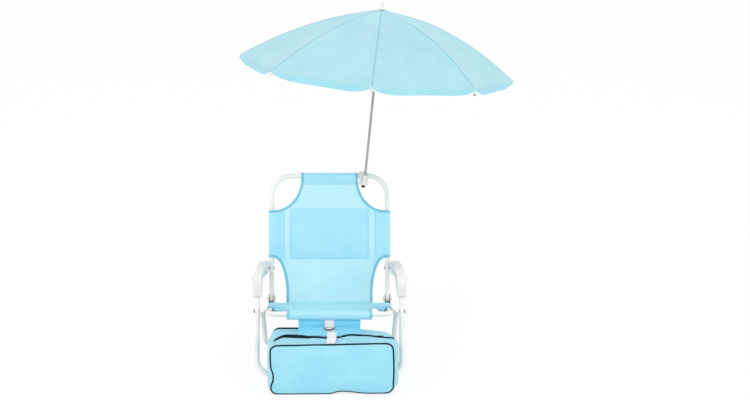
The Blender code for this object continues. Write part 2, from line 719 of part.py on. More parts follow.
def seat_outline():
    nose_reach = RAIL_PIVOT_SPAN + SEAT_FRONT_REACH
    flap = (BACK_HALF_WIDTH, SEAT_SLEEVE_FRONT)
    nose = (SEAT_NOSE_HALF_WIDTH, (SEAT_SLEEVE_FRONT + nose_reach) / 2)
    curve = quarter_curve(nose, flap, HIP_BULGE_SHARE)
    rear_flap = (BACK_HALF_WIDTH, SEAT_SLEEVE_REAR)
    waist = (BACK_WAIST_HALF_WIDTH, SEAT_REAR_INSET)
    heel = (BACK_WAIST_HALF_WIDTH, SEAT_SLEEVE_REAR)
    front = (SEAT_NOSE_HALF_WIDTH, nose_reach)
    return mirrored([waist, heel, rear_flap, flap, *reversed(curve), nose, front])


def add_sleeve(cloth, name, start, end):
    radius = TUBE_RADIUS + FIT_GAP + SLEEVE_WALL
    hem = SLEEVE_HEM * (end - start).normalized()
    bm = solid_sweep([start - hem, end + hem], radius, Y_AXIS.cross(end - start).normalized())
    join(cloth, add_helper(f"{cloth.name}_{name}", bm))


def build_sling():
    back_matrix = frame_matrix(BACK_PIVOT, X_AXIS, BACK_DIRECTION, BACK_FORWARD)
    bm = prism(back_outline(), back_matrix, -CLOTH_THICKNESS / 2, CLOTH_THICKNESS / 2)
    back = add_object("back_sling", bm, SLING_CLOTH, BACK_BODY, BACK_PIVOT)
    for side, sign in SIDES:
        low = across(BACK_PIVOT + BACK_SLEEVE_FOOT * BACK_DIRECTION, sign * BACK_HALF_WIDTH)
        high = across(BACK_PIVOT + BACK_SLEEVE_TOP * BACK_DIRECTION, sign * BACK_HALF_WIDTH)
        add_sleeve(back, f"sleeve_{side}", low, high)
    neck_ends = (across(TOP_BAR, -BACK_NECK_HALF_WIDTH), across(TOP_BAR, BACK_NECK_HALF_WIDTH))
    add_sleeve(back, "top_sleeve", *neck_ends)
    frame_path = u_path(BACK_HALF_WIDTH, BACK_PIVOT, TOP_BAR, BACK_CORNER_RADIUS)
    cut(back, add_helper("back_sling_bore", solid_sweep(frame_path, TUBE_RADIUS + FIT_GAP, BACK_FORWARD)))
    seat_matrix = frame_matrix(RAIL_REAR, X_AXIS, RAIL_FORWARD, -RAIL_UP)
    bm = prism(seat_outline(), seat_matrix, -CLOTH_THICKNESS / 2, CLOTH_THICKNESS / 2)
    seat = add_object("seat_sling", bm, SLING_CLOTH, SEAT_BODY, LEG_PIVOT)
    for side, sign in SIDES:
        low = across(RAIL_REAR + SEAT_SLEEVE_REAR * RAIL_FORWARD, sign * BACK_HALF_WIDTH)
        high = across(RAIL_REAR + SEAT_SLEEVE_FRONT * RAIL_FORWARD, sign * BACK_HALF_WIDTH)
        add_sleeve(seat, f"sleeve_{side}", low, high)
    front = SEAT_FRONT_BAR
    nose_ends = (across(front, -SEAT_NOSE_HALF_WIDTH), across(front, SEAT_NOSE_HALF_WIDTH))
    add_sleeve(seat, "front_sleeve", *nose_ends)
    rail_path = u_path(BACK_HALF_WIDTH, RAIL_REAR, SEAT_FRONT_BAR, SEAT_CORNER_RADIUS)
    cut(seat, add_helper("seat_sling_bore", solid_sweep(rail_path, TUBE_RADIUS + FIT_GAP, RAIL_UP)))
    pocket_front = CLOTH_THICKNESS / 2 + FIT_GAP
    low = (-POCKET_HALF_WIDTH, POCKET_FOOT, -pocket_front - POCKET_THICKNESS)
    high = (POCKET_HALF_WIDTH, POCKET_FOOT + POCKET_HEIGHT, -pocket_front)
    add_object("back_pocket", box(low, high, back_matrix), POCKET_CLOTH, BACK_BODY, BACK_PIVOT)


# Cooler bag, standing in front of the front floor bar
BAG_BACK = -(TUBE_RADIUS + BAG_FRAME_GAP)
BAG_FRONT = BAG_BACK - BAG_DEPTH
BAG_TOP_SLOPE = atan2(BAG_REAR_HEIGHT - BAG_FRONT_HEIGHT, BAG_DEPTH)
BAG_SPLIT = BAG_BACK - BAG_DEPTH * BAG_MOUTH_SHARE
LID_BODY = make_group("lid_body", side_point(BAG_FRONT, BAG_FRONT_HEIGHT), SEAT_BODY)


def bag_top(y):
    """Height of the sloping top at this distance from the front bar."""
    return BAG_FRONT_HEIGHT + (y - BAG_FRONT) * tan(BAG_TOP_SLOPE)


def rounded_rectangle(half_x, low_y, high_y, radius, steps=BAG_CORNER_STEPS):
    points = []
    corners = ((1, high_y, 0), (-1, high_y, 1), (-1, low_y, 2), (1, low_y, 3))
    for sign, edge, quarter in corners:
        centre_x = sign * (half_x - radius)
        centre_y = edge - radius if edge == high_y else edge + radius
        for i in range(steps + 1):
            angle = pi / 2 * (quarter + i / steps)
            points.append((centre_x + radius * cos(angle), centre_y + radius * sin(angle)))
    return points


def sloped(bm, foot, drop):
    """Raises every point above the foot to the sloping top, less the drop."""
    for vert in bm.verts:
        if vert.co.z > foot:
            vert.co.z = bag_top(vert.co.y) - drop
    return bm


def build_bag():
    flat = Matrix.Identity(4)
    outline = rounded_rectangle(BAG_WIDTH / 2, BAG_FRONT, BAG_BACK, BAG_CORNER_RADIUS)
    bm = sloped(prism(outline, flat, 0, BAG_REAR_HEIGHT), BAG_WALL, 0)
    bag = add_object("bag_body", bm, BAG_CLOTH, SEAT_BODY, side_point(BAG_BACK, 0))
    inside = rounded_rectangle(
        BAG_WIDTH / 2 - BAG_WALL,
        BAG_FRONT + BAG_WALL,
        BAG_BACK - BAG_WALL,
        BAG_CORNER_RADIUS - BAG_WALL,
    )
    bm = sloped(prism(inside, flat, BAG_WALL, BAG_REAR_HEIGHT), 2 * BAG_WALL, BAG_WALL)
    cut(bag, add_helper("bag_body_inside", bm))
    mouth = lid_outline(BAG_MOUTH_MARGIN)
    bm = prism(mouth, flat, BAG_REAR_HEIGHT / 2, BAG_REAR_HEIGHT + CUT_OVERRUN)
    cut(bag, add_helper("bag_body_mouth", bm))
    bm = sloped(prism(lid_outline(0), flat, 0, LID_THICKNESS), LID_THICKNESS / 2, 0)
    for vert in bm.verts:
        if vert.co.z < LID_THICKNESS / 2:
            vert.co.z = bag_top(vert.co.y)
        else:
            vert.co.z += LID_THICKNESS
        vert.co.z += FIT_GAP
    add_object("bag_lid", bm, BAG_CLOTH, LID_BODY, world_place(LID_BODY))


def lid_outline(margin):
    """The front part of the bag's top, as far back as the zip."""
    outline = rounded_rectangle(
        BAG_WIDTH / 2 - margin,
        BAG_FRONT + margin,
        BAG_SPLIT + BAG_CORNER_RADIUS,
        BAG_CORNER_RADIUS - margin,
    )
    back = BAG_SPLIT - margin
    return [(x, min(y, back)) for x, y in outline if y < back + BAG_CORNER_RADIUS]


HANGER_FOOT = BAG_REAR_HEIGHT + FIT_GAP
HANGER_TOP = SEAT_FRONT_BAR.z - (TUBE_RADIUS + SLEEVE_WALL + 2 * FIT_GAP)


def hanger_front(height):
    """Front of the hanging flap, which runs from the bag's back edge to under the front bar."""
    foot = BAG_BACK - HANGER_THICKNESS
    share = (height - HANGER_FOOT) / (HANGER_TOP - HANGER_FOOT)
    return foot + (SEAT_FRONT_BAR.y - foot) * share


def hanging_strip(offset, thickness, foot, half_width):
    """A strip of cloth in front of the flap by the offset, from its foot up to the front bar."""
    front = -(offset + thickness)
    outline = [
        (hanger_front(foot) + front, foot),
        (hanger_front(foot) - offset, foot),
        (hanger_front(HANGER_TOP) - offset, HANGER_TOP),
        (hanger_front(HANGER_TOP) + front, HANGER_TOP),
    ]
    return prism(outline, SIDE_MATRIX, -half_width, half_width)


def build_bag_fittings():
    flap = hanging_strip(-HANGER_THICKNESS, HANGER_THICKNESS, HANGER_FOOT, HANGER_HALF_WIDTH)
    add_object("bag_hanger", flap, HANGER_CLOTH, SEAT_BODY, side_point(BAG_BACK, HANGER_FOOT))
    build_straps()
    build_slider()


def on_top(y, height):
    """A point this far above the bag's sloping top."""
    return (y, bag_top(y) + height)


def build_straps():
    half = STRAP_WIDTH / 2
    strap_foot = HANGER_FOOT + BUCKLE_HEIGHT / 2
    upper = hanging_strip(FIT_GAP, STRAP_THICKNESS, strap_foot, half)
    add_object("strap_upper", upper, WEBBING, SEAT_BODY, side_point(BAG_BACK, strap_foot))
    tray_back = hanger_front(HANGER_FOOT + BUCKLE_HEIGHT) - STRAP_THICKNESS - 2 * FIT_GAP
    tray_front = tray_back - BUCKLE_LENGTH
    outline = [
        on_top(tray_front, FIT_GAP),
        on_top(tray_back, FIT_GAP),
        on_top(tray_back, BUCKLE_HEIGHT),
        on_top(tray_back - BUCKLE_WALL, BUCKLE_HEIGHT),
        on_top(tray_back - BUCKLE_WALL, FIT_GAP + BUCKLE_WALL),
        on_top(tray_front, FIT_GAP + BUCKLE_WALL),
    ]
    socket = prism(outline, SIDE_MATRIX, -BUCKLE_WIDTH / 2, BUCKLE_WIDTH / 2)
    add_object("buckle_socket", socket, WHITE_PLASTIC, SEAT_BODY, side_point(tray_back, HANGER_FOOT))
    tongue_foot = FIT_GAP + BUCKLE_WALL + TONGUE_GAP
    tongue_back = tray_back - BUCKLE_WALL - TONGUE_GAP
    tongue_front = tray_front - BUCKLE_LENGTH / 2
    tongue = top_strip(tongue_front, tongue_back, tongue_foot, BUCKLE_HEIGHT, half)
    add_object("buckle_tongue", tongue, WHITE_PLASTIC, LID_BODY, world_place(LID_BODY))
    strap_front = BAG_FRONT + BAG_WALL
    strap_back = tongue_front - FIT_GAP
    strap_under = LID_THICKNESS + 2 * FIT_GAP
    lower = top_strip(strap_front, strap_back, strap_under, strap_under + STRAP_THICKNESS, half)
    add_object("strap_lower", lower, WEBBING, LID_BODY, world_place(LID_BODY))


def top_strip(front, back, under, over, half_width):
    """A flat strip that follows the bag's sloping top."""
    outline = [on_top(front, under), on_top(back, under), on_top(back, over), on_top(front, over)]
    return prism(outline, SIDE_MATRIX, -half_width, half_width)


def build_slider():
    """Zip slider just behind the lid's edge, at the right end of the zip."""
    centre = BAG_WIDTH / 2 - BAG_CORNER_RADIUS - SLIDER_END_MARGIN
    front = BAG_SPLIT + FIT_GAP
    foot = bag_top(front) + FIT_GAP + (SLIDER_WIDTH * tan(BAG_TOP_SLOPE))
    low = (centre - SLIDER_LENGTH / 2, front, foot)
    high = (centre + SLIDER_LENGTH / 2, front + SLIDER_WIDTH, foot + SLIDER_HEIGHT)
    add_object("zip_slider", box(low, high), DARK_PLASTIC, SEAT_BODY, Vector((centre, front, foot)))


# Umbrella clamp
SWIVEL = Vector((CLAMP_X + SWIVEL_OFFSET_X, TOP_BAR.y - CLAMP_FRONT, TOP_BAR.z - SWIVEL_DROP))
POLE_UP = Vector((sin(POLE_LEAN), 0, cos(POLE_LEAN)))
POLE_SIDE = Vector((cos(POLE_LEAN), 0, -sin(POLE_LEAN)))
POLE_FOOT = SWIVEL - Y_AXIS * (FIT_GAP + SWIVEL_DISC_THICKNESS + SOCKET_RADIUS)


def pole_matrix(height=0.0):
    return frame_matrix(POLE_FOOT + height * POLE_UP, POLE_SIDE, Y_AXIS, POLE_UP)


def build_clamp():
    centre = across(TOP_BAR, CLAMP_X)
    half = CLAMP_WIDTH / 2
    side = frame_matrix(centre, Y_AXIS, Z_AXIS, X_AXIS)
    bore = TUBE_RADIUS + FIT_GAP
    foot_top = -(CLAMP_FOOT - CLAMP_FOOT_THICKNESS)
    outline = [
        (-CLAMP_FRONT, -CLAMP_FOOT),
        (CLAMP_BACK, -CLAMP_FOOT),
        (CLAMP_BACK, foot_top),
        (-bore, foot_top),
        (-bore, 0),
        (-bore, bore),
        (CLAMP_BACK, bore),
        (CLAMP_BACK, CLAMP_TOP),
        (-CLAMP_FRONT, CLAMP_TOP),
    ]
    clamp = add_object("umbrella_clamp", prism(outline, side, -half, half), WHITE_PLASTIC, BACK_BODY, centre)
    low = centre - (CLAMP_FOOT + CUT_OVERRUN) * Z_AXIS
    high = centre + (foot_top + CUT_OVERRUN) * Z_AXIS
    cut(clamp, add_helper("umbrella_clamp_screw_hole", cylinder(low, high, SCREW_RADIUS + DRILL_CLEARANCE)))
    stub_end = SWIVEL + (SWIVEL_STUB_LENGTH + FIT_GAP) * Y_AXIS
    bm = cylinder(SWIVEL - CUT_OVERRUN * Y_AXIS, stub_end, SWIVEL_STUB_RADIUS + DRILL_CLEARANCE)
    cut(clamp, add_helper("umbrella_clamp_swivel_hole", bm))
    jaw_top = -(bore + FIT_GAP)
    low = (-bore + FIT_GAP, jaw_top - JAW_THICKNESS, -half + FIT_GAP)
    high = (CLAMP_BACK, jaw_top, half - FIT_GAP)
    jaw = add_object("clamp_jaw", box(low, high, side), WHITE_PLASTIC, BACK_BODY, centre)
    screw_top = centre + (jaw_top - JAW_THICKNESS - FIT_GAP) * Z_AXIS
    build_screw(centre, screw_top, jaw)


def build_screw(centre, screw_top, jaw):
    knob_top = centre - (CLAMP_FOOT + KNOB_GAP) * Z_AXIS
    length = (screw_top - knob_top).length
    profile = [
        (0, length),
        (SCREW_RADIUS, length),
        (SCREW_RADIUS, 0),
        (KNOB_RADIUS, 0),
        (KNOB_RADIUS, -KNOB_HEIGHT),
        (0, -KNOB_HEIGHT),
    ]
    matrix = frame_matrix(knob_top, X_AXIS, Y_AXIS, Z_AXIS)
    add_object("clamp_screw", turned(profile, matrix, KNOB_LOBES), DARK_PLASTIC, jaw, knob_top)


UMBRELLA_LEAN_BODY = make_group("umbrella_lean_body", SWIVEL, BACK_BODY)
UMBRELLA_BODY = make_group("umbrella_body", POLE_FOOT, UMBRELLA_LEAN_BODY)


def build_socket():
    """Sleeve that the pole stands in, with a disc and stub that turn in the clamp."""
    bore = POLE_RADIUS + SLIDING_GAP
    profile = [
        (0, -SOCKET_DROP),
        (SOCKET_RADIUS, -SOCKET_DROP),
        (SOCKET_RADIUS, SOCKET_RISE),
        (bore, SOCKET_RISE),
        (bore, SOCKET_FLOOR - SOCKET_DROP),
        (0, SOCKET_FLOOR - SOCKET_DROP),
    ]
    sleeve = turned(profile, pole_matrix())
    socket = add_object("pole_socket", sleeve, WHITE_PLASTIC, UMBRELLA_LEAN_BODY, SWIVEL)
    disc_front = SWIVEL - (FIT_GAP + SWIVEL_DISC_THICKNESS + SOCKET_RADIUS - bore) * Y_AXIS
    stub = SWIVEL_DISC_THICKNESS + SOCKET_RADIUS - bore
    profile = [
        (0, 0),
        (SWIVEL_DISC_RADIUS, 0),
        (SWIVEL_DISC_RADIUS, stub),
        (SWIVEL_STUB_RADIUS, stub),
        (SWIVEL_STUB_RADIUS, stub + FIT_GAP + SWIVEL_STUB_LENGTH),
        (0, stub + FIT_GAP + SWIVEL_STUB_LENGTH),
    ]
    matrix = look_matrix(disc_front, Y_AXIS, X_AXIS)
    join(socket, add_helper("pole_socket_disc", turned(profile, matrix)))
    reach = SOCKET_RISE + CUT_OVERRUN
    floor = POLE_FOOT + (SOCKET_FLOOR - SOCKET_DROP) * POLE_UP
    bm = cylinder(floor, POLE_FOOT + reach * POLE_UP, bore)
    cut(socket, add_helper("pole_socket_bore", bm))


# Umbrella: heights are taken along the pole from the swivel
def canopy_profile():
    """(radius, height) down one rib, an arc from the crown to the tip."""
    run = CANOPY_RADIUS - CANOPY_HOLE_RADIUS
    chord = hypot(run, CANOPY_DEPTH)
    chord_slope = atan2(CANOPY_DEPTH, run)
    half_turn = chord_slope - CANOPY_TOP_SLOPE
    arc_radius = chord / 2 / sin(half_turn)
    return arc_radius, 2 * half_turn


ARC_RADIUS, ARC_TURN = canopy_profile()


def canopy_point(share, offset=0.0):
    """(radius, height) at this share of the arc, moved inwards from the cloth by the offset."""
    slope = CANOPY_TOP_SLOPE + ARC_TURN * share
    radius = CANOPY_HOLE_RADIUS + ARC_RADIUS * (sin(slope) - sin(CANOPY_TOP_SLOPE))
    height = APEX_HEIGHT - ARC_RADIUS * (cos(CANOPY_TOP_SLOPE) - cos(slope))
    return radius - offset * sin(slope), height - offset * cos(slope)


def spoke(angle):
    return Vector((cos(angle), sin(angle), 0))


def rib_angle(index):
    return RIB_TURN + 2 * pi * index / RIB_COUNT


def canopy_ring(radius, height):
    """Corner points at the ribs with straight cloth between them, in the pole's own axes."""
    points = []
    for index in range(RIB_COUNT):
        here = radius * spoke(rib_angle(index))
        following = radius * spoke(rib_angle(index + 1))
        for step in range(GORE_STEPS):
            flat = here.lerp(following, step / GORE_STEPS)
            points.append(Vector((flat.x, flat.y, height)))
    return points


def valance_ring():
    """Foot of the valance, full between the ribs and short at each rib."""
    radius, height = canopy_point(1)
    points = []
    for i, point in enumerate(canopy_ring(radius, height)):
        middle = sin(pi * (i % GORE_STEPS) / GORE_STEPS)
        fall = VALANCE_HEIGHT * (VALANCE_TIP_SHARE + (1 - VALANCE_TIP_SHARE) * middle)
        outwards = Vector((point.x, point.y, 0)).normalized() * fall * VALANCE_FLARE_SHARE
        points.append(point + outwards - Vector((0, 0, fall)))
    return points


def build_canopy():
    bm = bmesh.new()
    rings = [canopy_ring(*canopy_point(i / CANOPY_RINGS)) for i in range(CANOPY_RINGS + 1)]
    rings.append(valance_ring())
    drawn = [[bm.verts.new(point) for point in ring] for ring in rings]
    for first, second in zip(drawn, drawn[1:]):
        bridge(bm, first, second)
    bmesh.ops.transform(bm, matrix=pole_matrix(), verts=bm.verts)
    canopy = add_object("canopy", bm, CANOPY_CLOTH, UMBRELLA_BODY, POLE_FOOT)
    thickness = canopy.modifiers.new("cloth", "SOLIDIFY")
    thickness.thickness = CANOPY_THICKNESS
    thickness.offset = 1
    thickness.use_even_offset = True


def rib_pivot():
    """(radius, height) of a rib's pivot at the crown."""
    return RIB_PIVOT_RADIUS, canopy_point(0)[1] - RIB_PIVOT_DROP


def rib_line():
    """(radius, height) points of one rib, from its pivot to its tip."""
    offset = RIB_RADIUS + RIB_CANOPY_GAP
    points = [rib_pivot()]
    for i in range(1, RIB_STEPS):
        points.append(canopy_point(i / RIB_STEPS, offset))
    tip_offset = RIB_TIP_RADIUS + 2 * RIB_CANOPY_GAP + VALANCE_HEIGHT * VALANCE_TIP_SHARE
    return points + [canopy_point(1, tip_offset)]


def stretcher_joint():
    """(radius, height) where a stretcher meets its rib, at the stretcher's length from the pivot."""
    pivot = Vector(rib_pivot())
    points = [Vector(point) for point in rib_line()]
    for near, far in zip(points, points[1:]):
        if (far - pivot).length < STRETCHER_LENGTH:
            continue
        start, step = near - pivot, far - near
        half = start.dot(step)
        square = step.length_squared
        rest = start.length_squared - STRETCHER_LENGTH**2
        share = (-half + (half * half - square * rest) ** 0.5) / square
        return tuple(near + share * step)
    return tuple(points[-1])


def tipped(stations):
    """Stations and radii of a rib with its moulded tip, whose end stands past the rib's last point."""
    tip = stations[-1]
    outward = (tip - stations[-2]).normalized()
    tip_start = tip + (RIB_TIP_OVERHANG - RIB_TIP_LENGTH) * outward
    shoulder = tip_start + RIB_TIP_SHOULDER * outward
    tip_end = tip + RIB_TIP_OVERHANG * outward
    slim = [RIB_RADIUS] * len(stations)
    return stations[:-1] + [tip_start, shoulder, tip_end], slim + [RIB_TIP_RADIUS] * 2


def stretcher_foot_height():
    """As far below the joint as the rib's pivot is above it, so both halves fold together."""
    return 2 * stretcher_joint()[1] - rib_pivot()[1]


def build_rib(index):
    angle = rib_angle(index)
    outward = POLE_SIDE * cos(angle) + Y_AXIS * sin(angle)
    sideways = POLE_UP.cross(outward)

    def place(point, aside=0.0):
        return POLE_FOOT + point[0] * outward + point[1] * POLE_UP + aside * sideways

    stations, radii = tipped([place(point) for point in rib_line()])
    bm = solid_sweep(stations, radii, sideways, RIB_SIDES)
    rib = add_object(f"rib_{index + 1}", bm, STEEL, UMBRELLA_BODY, stations[0])
    joint = stretcher_joint()
    aside = RIB_RADIUS + STRETCHER_RADIUS + FIT_GAP
    ends = [place((RIB_PIVOT_RADIUS, stretcher_foot_height()), aside), place(joint, aside)]
    bm = solid_sweep(ends, STRETCHER_RADIUS, sideways, RIB_SIDES)
    add_object(f"stretcher_{index + 1}", bm, STEEL, rib, place(joint))


def build_umbrella():
    pole_low = SOCKET_FLOOR - SOCKET_DROP + FIT_GAP
    start = POLE_FOOT + pole_low * POLE_UP
    end = POLE_FOOT + (APEX_HEIGHT + FINIAL_SKIRT_HEIGHT) * POLE_UP
    pole = cylinder(start, end, POLE_RADIUS, POLE_SIDES)
    add_object("umbrella_pole", pole, STEEL, UMBRELLA_BODY, POLE_FOOT)
    bore = POLE_RADIUS + FIT_GAP
    pivot_height = rib_pivot()[1]
    crown_low = pivot_height - CROWN_HEIGHT / 2
    crown_high = canopy_point(0)[1] - 2 * CANOPY_THICKNESS
    profile = [
        (bore, crown_low),
        (CROWN_RADIUS, crown_low),
        (CROWN_RADIUS, crown_high),
        (bore, crown_high),
    ]
    add_object("umbrella_crown", turned(profile, pole_matrix()), WHITE_PLASTIC, UMBRELLA_BODY, POLE_FOOT)
    foot_height = stretcher_foot_height()
    top = foot_height + RUNNER_FLANGE_DROP
    slide_bore = POLE_RADIUS + SLIDING_GAP
    profile = [
        (slide_bore, top - RUNNER_HEIGHT),
        (RUNNER_RADIUS, top - RUNNER_HEIGHT),
        (RUNNER_RADIUS, top),
        (slide_bore, top),
    ]
    runner = turned(profile, pole_matrix())
    add_object("umbrella_runner", runner, WHITE_PLASTIC, UMBRELLA_BODY, POLE_FOOT + foot_height * POLE_UP)
    build_finial()
    build_canopy()
    for index in range(RIB_COUNT):
        build_rib(index)


def build_finial():
    base = canopy_point(0)[1] + 2 * CANOPY_THICKNESS + FIT_GAP
    bore = POLE_RADIUS + FIT_GAP
    roof = APEX_HEIGHT + FINIAL_SKIRT_HEIGHT + FIT_GAP
    top = base + FINIAL_HEIGHT
    profile = [
        (0, roof),
        (bore, roof),
        (bore, base),
        (FINIAL_SKIRT_RADIUS, base),
        (FINIAL_RADIUS + FIT_GAP, base + FINIAL_SKIRT_HEIGHT),
        (FINIAL_RADIUS, top - FINIAL_RADIUS),
        (FINIAL_POINT_RADIUS, top),
        (0, top),
    ]
    finial = turned(profile, pole_matrix())
    add_object("umbrella_finial", finial, WHITE_PLASTIC, UMBRELLA_BODY, POLE_FOOT + base * POLE_UP)


build_frames()
build_fasteners()
for side_name, side_sign in SIDES:
    build_bracket(side_name, side_sign)
    build_armrest(side_name, side_sign)
build_sling()
build_bag()
build_bag_fittings()
build_clamp()
build_socket()
build_umbrella()
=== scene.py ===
# Looks of a child's folding beach chair with a clamp-on umbrella and a cooler bag. Lengths are in metres.
from math import atan2, cos, hypot, pi, radians, sin, tan

import bmesh
import bpy
from mathutils import Matrix, Vector, noise


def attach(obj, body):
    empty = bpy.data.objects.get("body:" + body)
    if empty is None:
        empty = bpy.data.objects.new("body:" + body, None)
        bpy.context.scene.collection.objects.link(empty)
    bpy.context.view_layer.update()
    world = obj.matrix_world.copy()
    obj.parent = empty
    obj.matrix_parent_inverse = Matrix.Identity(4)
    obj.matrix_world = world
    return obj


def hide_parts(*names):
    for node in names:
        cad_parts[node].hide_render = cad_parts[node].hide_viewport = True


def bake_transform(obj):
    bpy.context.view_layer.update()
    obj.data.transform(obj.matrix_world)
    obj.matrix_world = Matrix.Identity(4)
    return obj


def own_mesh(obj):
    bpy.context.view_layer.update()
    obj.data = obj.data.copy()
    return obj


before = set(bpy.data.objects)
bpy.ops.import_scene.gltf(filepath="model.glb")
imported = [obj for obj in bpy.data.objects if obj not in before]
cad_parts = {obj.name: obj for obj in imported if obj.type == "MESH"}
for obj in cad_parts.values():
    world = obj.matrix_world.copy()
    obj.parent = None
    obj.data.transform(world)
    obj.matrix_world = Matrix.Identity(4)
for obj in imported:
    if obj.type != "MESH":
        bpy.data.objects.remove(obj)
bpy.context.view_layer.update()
print("frame loaded:", len(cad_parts), "nodes")

xAxis, yAxis, zAxis = Vector((1, 0, 0)), Vector((0, 1, 0)), Vector((0, 0, 1))


def sidePoint(y, z):
    return Vector((0, y, z))


# Places and directions of the chair in its side plane
side = {
    "legPivot": sidePoint(0.049135, 0.1575),
    "backPivot": sidePoint(0.217919, 0.142999),
    "armBackPivot": sidePoint(0.24264, 0.219083),
    "armLegPivot": sidePoint(0.073856, 0.233585),
    "topBar": sidePoint(0.317422, 0.449239),
    "railRear": sidePoint(0.214912, 0.126775),
    "frontBar": sidePoint(-0.01576, 0.169528),
    "floorBar": sidePoint(0, 0.006279),
    "rearFloorBar": sidePoint(0.244432, 0.006279),
    "backUp": sidePoint(0.309017, 0.951057),
    "backFront": sidePoint(-0.951057, 0.309017),
    "railFront": sidePoint(-0.983255, 0.182236),
    "railUp": sidePoint(0.182236, 0.983255),
}
halfWidth = {"back": 0.1515, "rearLeg": 0.1681, "frontLeg": 0.1815}
tubeRadius = 0.0064
bothSides = (("left", -1), ("right", 1))


def across(point, x):
    return Vector((x, point.y, point.z))


def shapeSmooth(value):
    value = min(max(value, 0.0), 1.0)
    return value * value * (3 - 2 * value)


def shares(steps):
    return [i / steps for i in range(steps + 1)]


def runLengths(points):
    # how far along the points each one lies
    travelled = [0.0]
    for before, after in zip(points, points[1:]):
        travelled.append(travelled[-1] + (after - before).length)
    return travelled


# Mesh helpers
def tidyMesh(bm):
    bmesh.ops.remove_doubles(bm, verts=bm.verts, dist=0.000005)
    bmesh.ops.recalc_face_normals(bm, faces=bm.faces)


def ofKind(items, kind):
    return [item for item in items if isinstance(item, kind)]


def cutAcross(bm, axis, place):
    where, normal = [0.0] * 3, [0.0] * 3
    where[axis], normal[axis] = place, 1.0
    geometry = bm.verts[:] + bm.edges[:] + bm.faces[:]
    bmesh.ops.bisect_plane(bm, geom=geometry, plane_co=where, plane_no=normal)


def newPiece(name, bm, looks, body, smoothAngle=50, replaced=()):
    mesh = bpy.data.meshes.new(name)
    bm.to_mesh(mesh)
    bm.free()
    piece = bpy.data.objects.new(name, mesh)
    bpy.context.collection.objects.link(piece)
    for look in looks:
        mesh.materials.append(finish[look])
    mesh.shade_smooth()
    if smoothAngle < 180:
        mesh.set_sharp_from_angle(angle=radians(smoothAngle))
    if replaced:
        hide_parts(*replaced)
    if body:
        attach(piece, body)
    return piece


def axisMatrix(origin, xSide, ySide, zSide):
    turn = Matrix((xSide, ySide, zSide)).transposed().to_4x4()
    return Matrix.Translation(origin) @ turn


def lookMatrix(origin, direction, reference):
    zSide = direction.normalized()
    xSide = reference.cross(zSide).normalized()
    return axisMatrix(origin, xSide, zSide.cross(xSide), zSide)


def addModifier(piece, kind, **settings):
    modifier = piece.modifiers.new(kind.lower(), kind)
    for key, value in settings.items():
        setattr(modifier, key, value)


def applyModifiers(piece):
    graph = bpy.context.evaluated_depsgraph_get()
    bpy.context.view_layer.update()
    mesh = bpy.data.meshes.new_from_object(piece.evaluated_get(graph))
    piece.modifiers.clear()
    old = piece.data
    piece.data = mesh
    bpy.data.meshes.remove(old)
    mesh.shade_smooth()
    mesh.set_sharp_from_angle(angle=radians(60))
    return piece


def turnedPiece(name, profile, matrix, steps, look, body, replaced=()):
    # (radius, height) pairs from the axis and back to it, spun about the matrix's Z
    bm = bmesh.new()
    verts = [bm.verts.new((radius, 0, height)) for radius, height in profile]
    edges = [bm.edges.new(pair) for pair in zip(verts, verts[1:])]
    bmesh.ops.spin(
        bm, geom=verts + edges, axis=(0, 0, 1), cent=(0, 0, 0), angle=2 * pi, steps=steps, use_merge=True
    )
    tidyMesh(bm)
    bmesh.ops.transform(bm, matrix=matrix, verts=bm.verts)
    newPiece(name, bm, [look], body, replaced=replaced)


def roundCord(name, points, radius, look, body, closed=False):
    # A welt or cord along the points, made a mesh
    curve = bpy.data.curves.new(name, "CURVE")
    curve.dimensions = "3D"
    curve.bevel_depth = radius
    curve.bevel_resolution = 2
    curve.use_fill_caps = True
    spline = curve.splines.new("POLY")
    spline.points.add(len(points) - 1)
    for target, point in zip(spline.points, points):
        target.co = (*point, 1)
    spline.use_cyclic_u = closed
    spline.use_smooth = True
    guide = bpy.data.objects.new(name + "_guide", curve)
    bpy.context.collection.objects.link(guide)
    bpy.context.view_layer.update()
    graph = bpy.context.evaluated_depsgraph_get()
    mesh = bpy.data.meshes.new_from_object(guide.evaluated_get(graph))
    bpy.data.objects.remove(guide)
    bpy.data.curves.remove(curve)
    bm = bmesh.new()
    bm.from_mesh(mesh)
    bpy.data.meshes.remove(mesh)
    tidyMesh(bm)
    newPiece(name, bm, [look], body, 60)


def clothMesh():
    bm = bmesh.new()
    return bm, bm.loops.layers.uv.new("clothMetres")


def layFlat(bm, uvLayer, flat):
    # the cloth coordinates, in metres, and normals that agree
    for face in bm.faces:
        for loop in face.loops:
            loop[uvLayer].uv = flat[loop.vert]
    bmesh.ops.recalc_face_normals(bm, faces=bm.faces)


def clothGrid(columns, rows, place, slot=None):
    # place turns u, from -1 to 1, and a row into a point and its cloth coordinates
    # slot gives the material of the band that starts at a row
    bm, uvLayer = clothMesh()
    bmesh.ops.create_grid(bm, x_segments=columns, y_segments=rows, size=1.0)
    flat, rowOf = {}, {}
    for vert in bm.verts:
        rowOf[vert] = round((vert.co.y + 1) / 2 * rows)
        vert.co, flat[vert] = place(vert.co.x, rowOf[vert])
    if slot:
        for face in bm.faces:
            face.material_index = slot(min(rowOf[vert] for vert in face.verts))
    layFlat(bm, uvLayer, flat)
    return bm


def thickSheet(name, bm, looks, body, thickness, replaced=(), offset=0, **settings):
    piece = newPiece(name, bm, looks, body, 180, replaced)
    addModifier(piece, "SOLIDIFY", thickness=thickness, offset=offset, **settings)
    return applyModifiers(piece)


def sheetArea(piece):
    return sum(face.area for face in piece.data.polygons) / 2


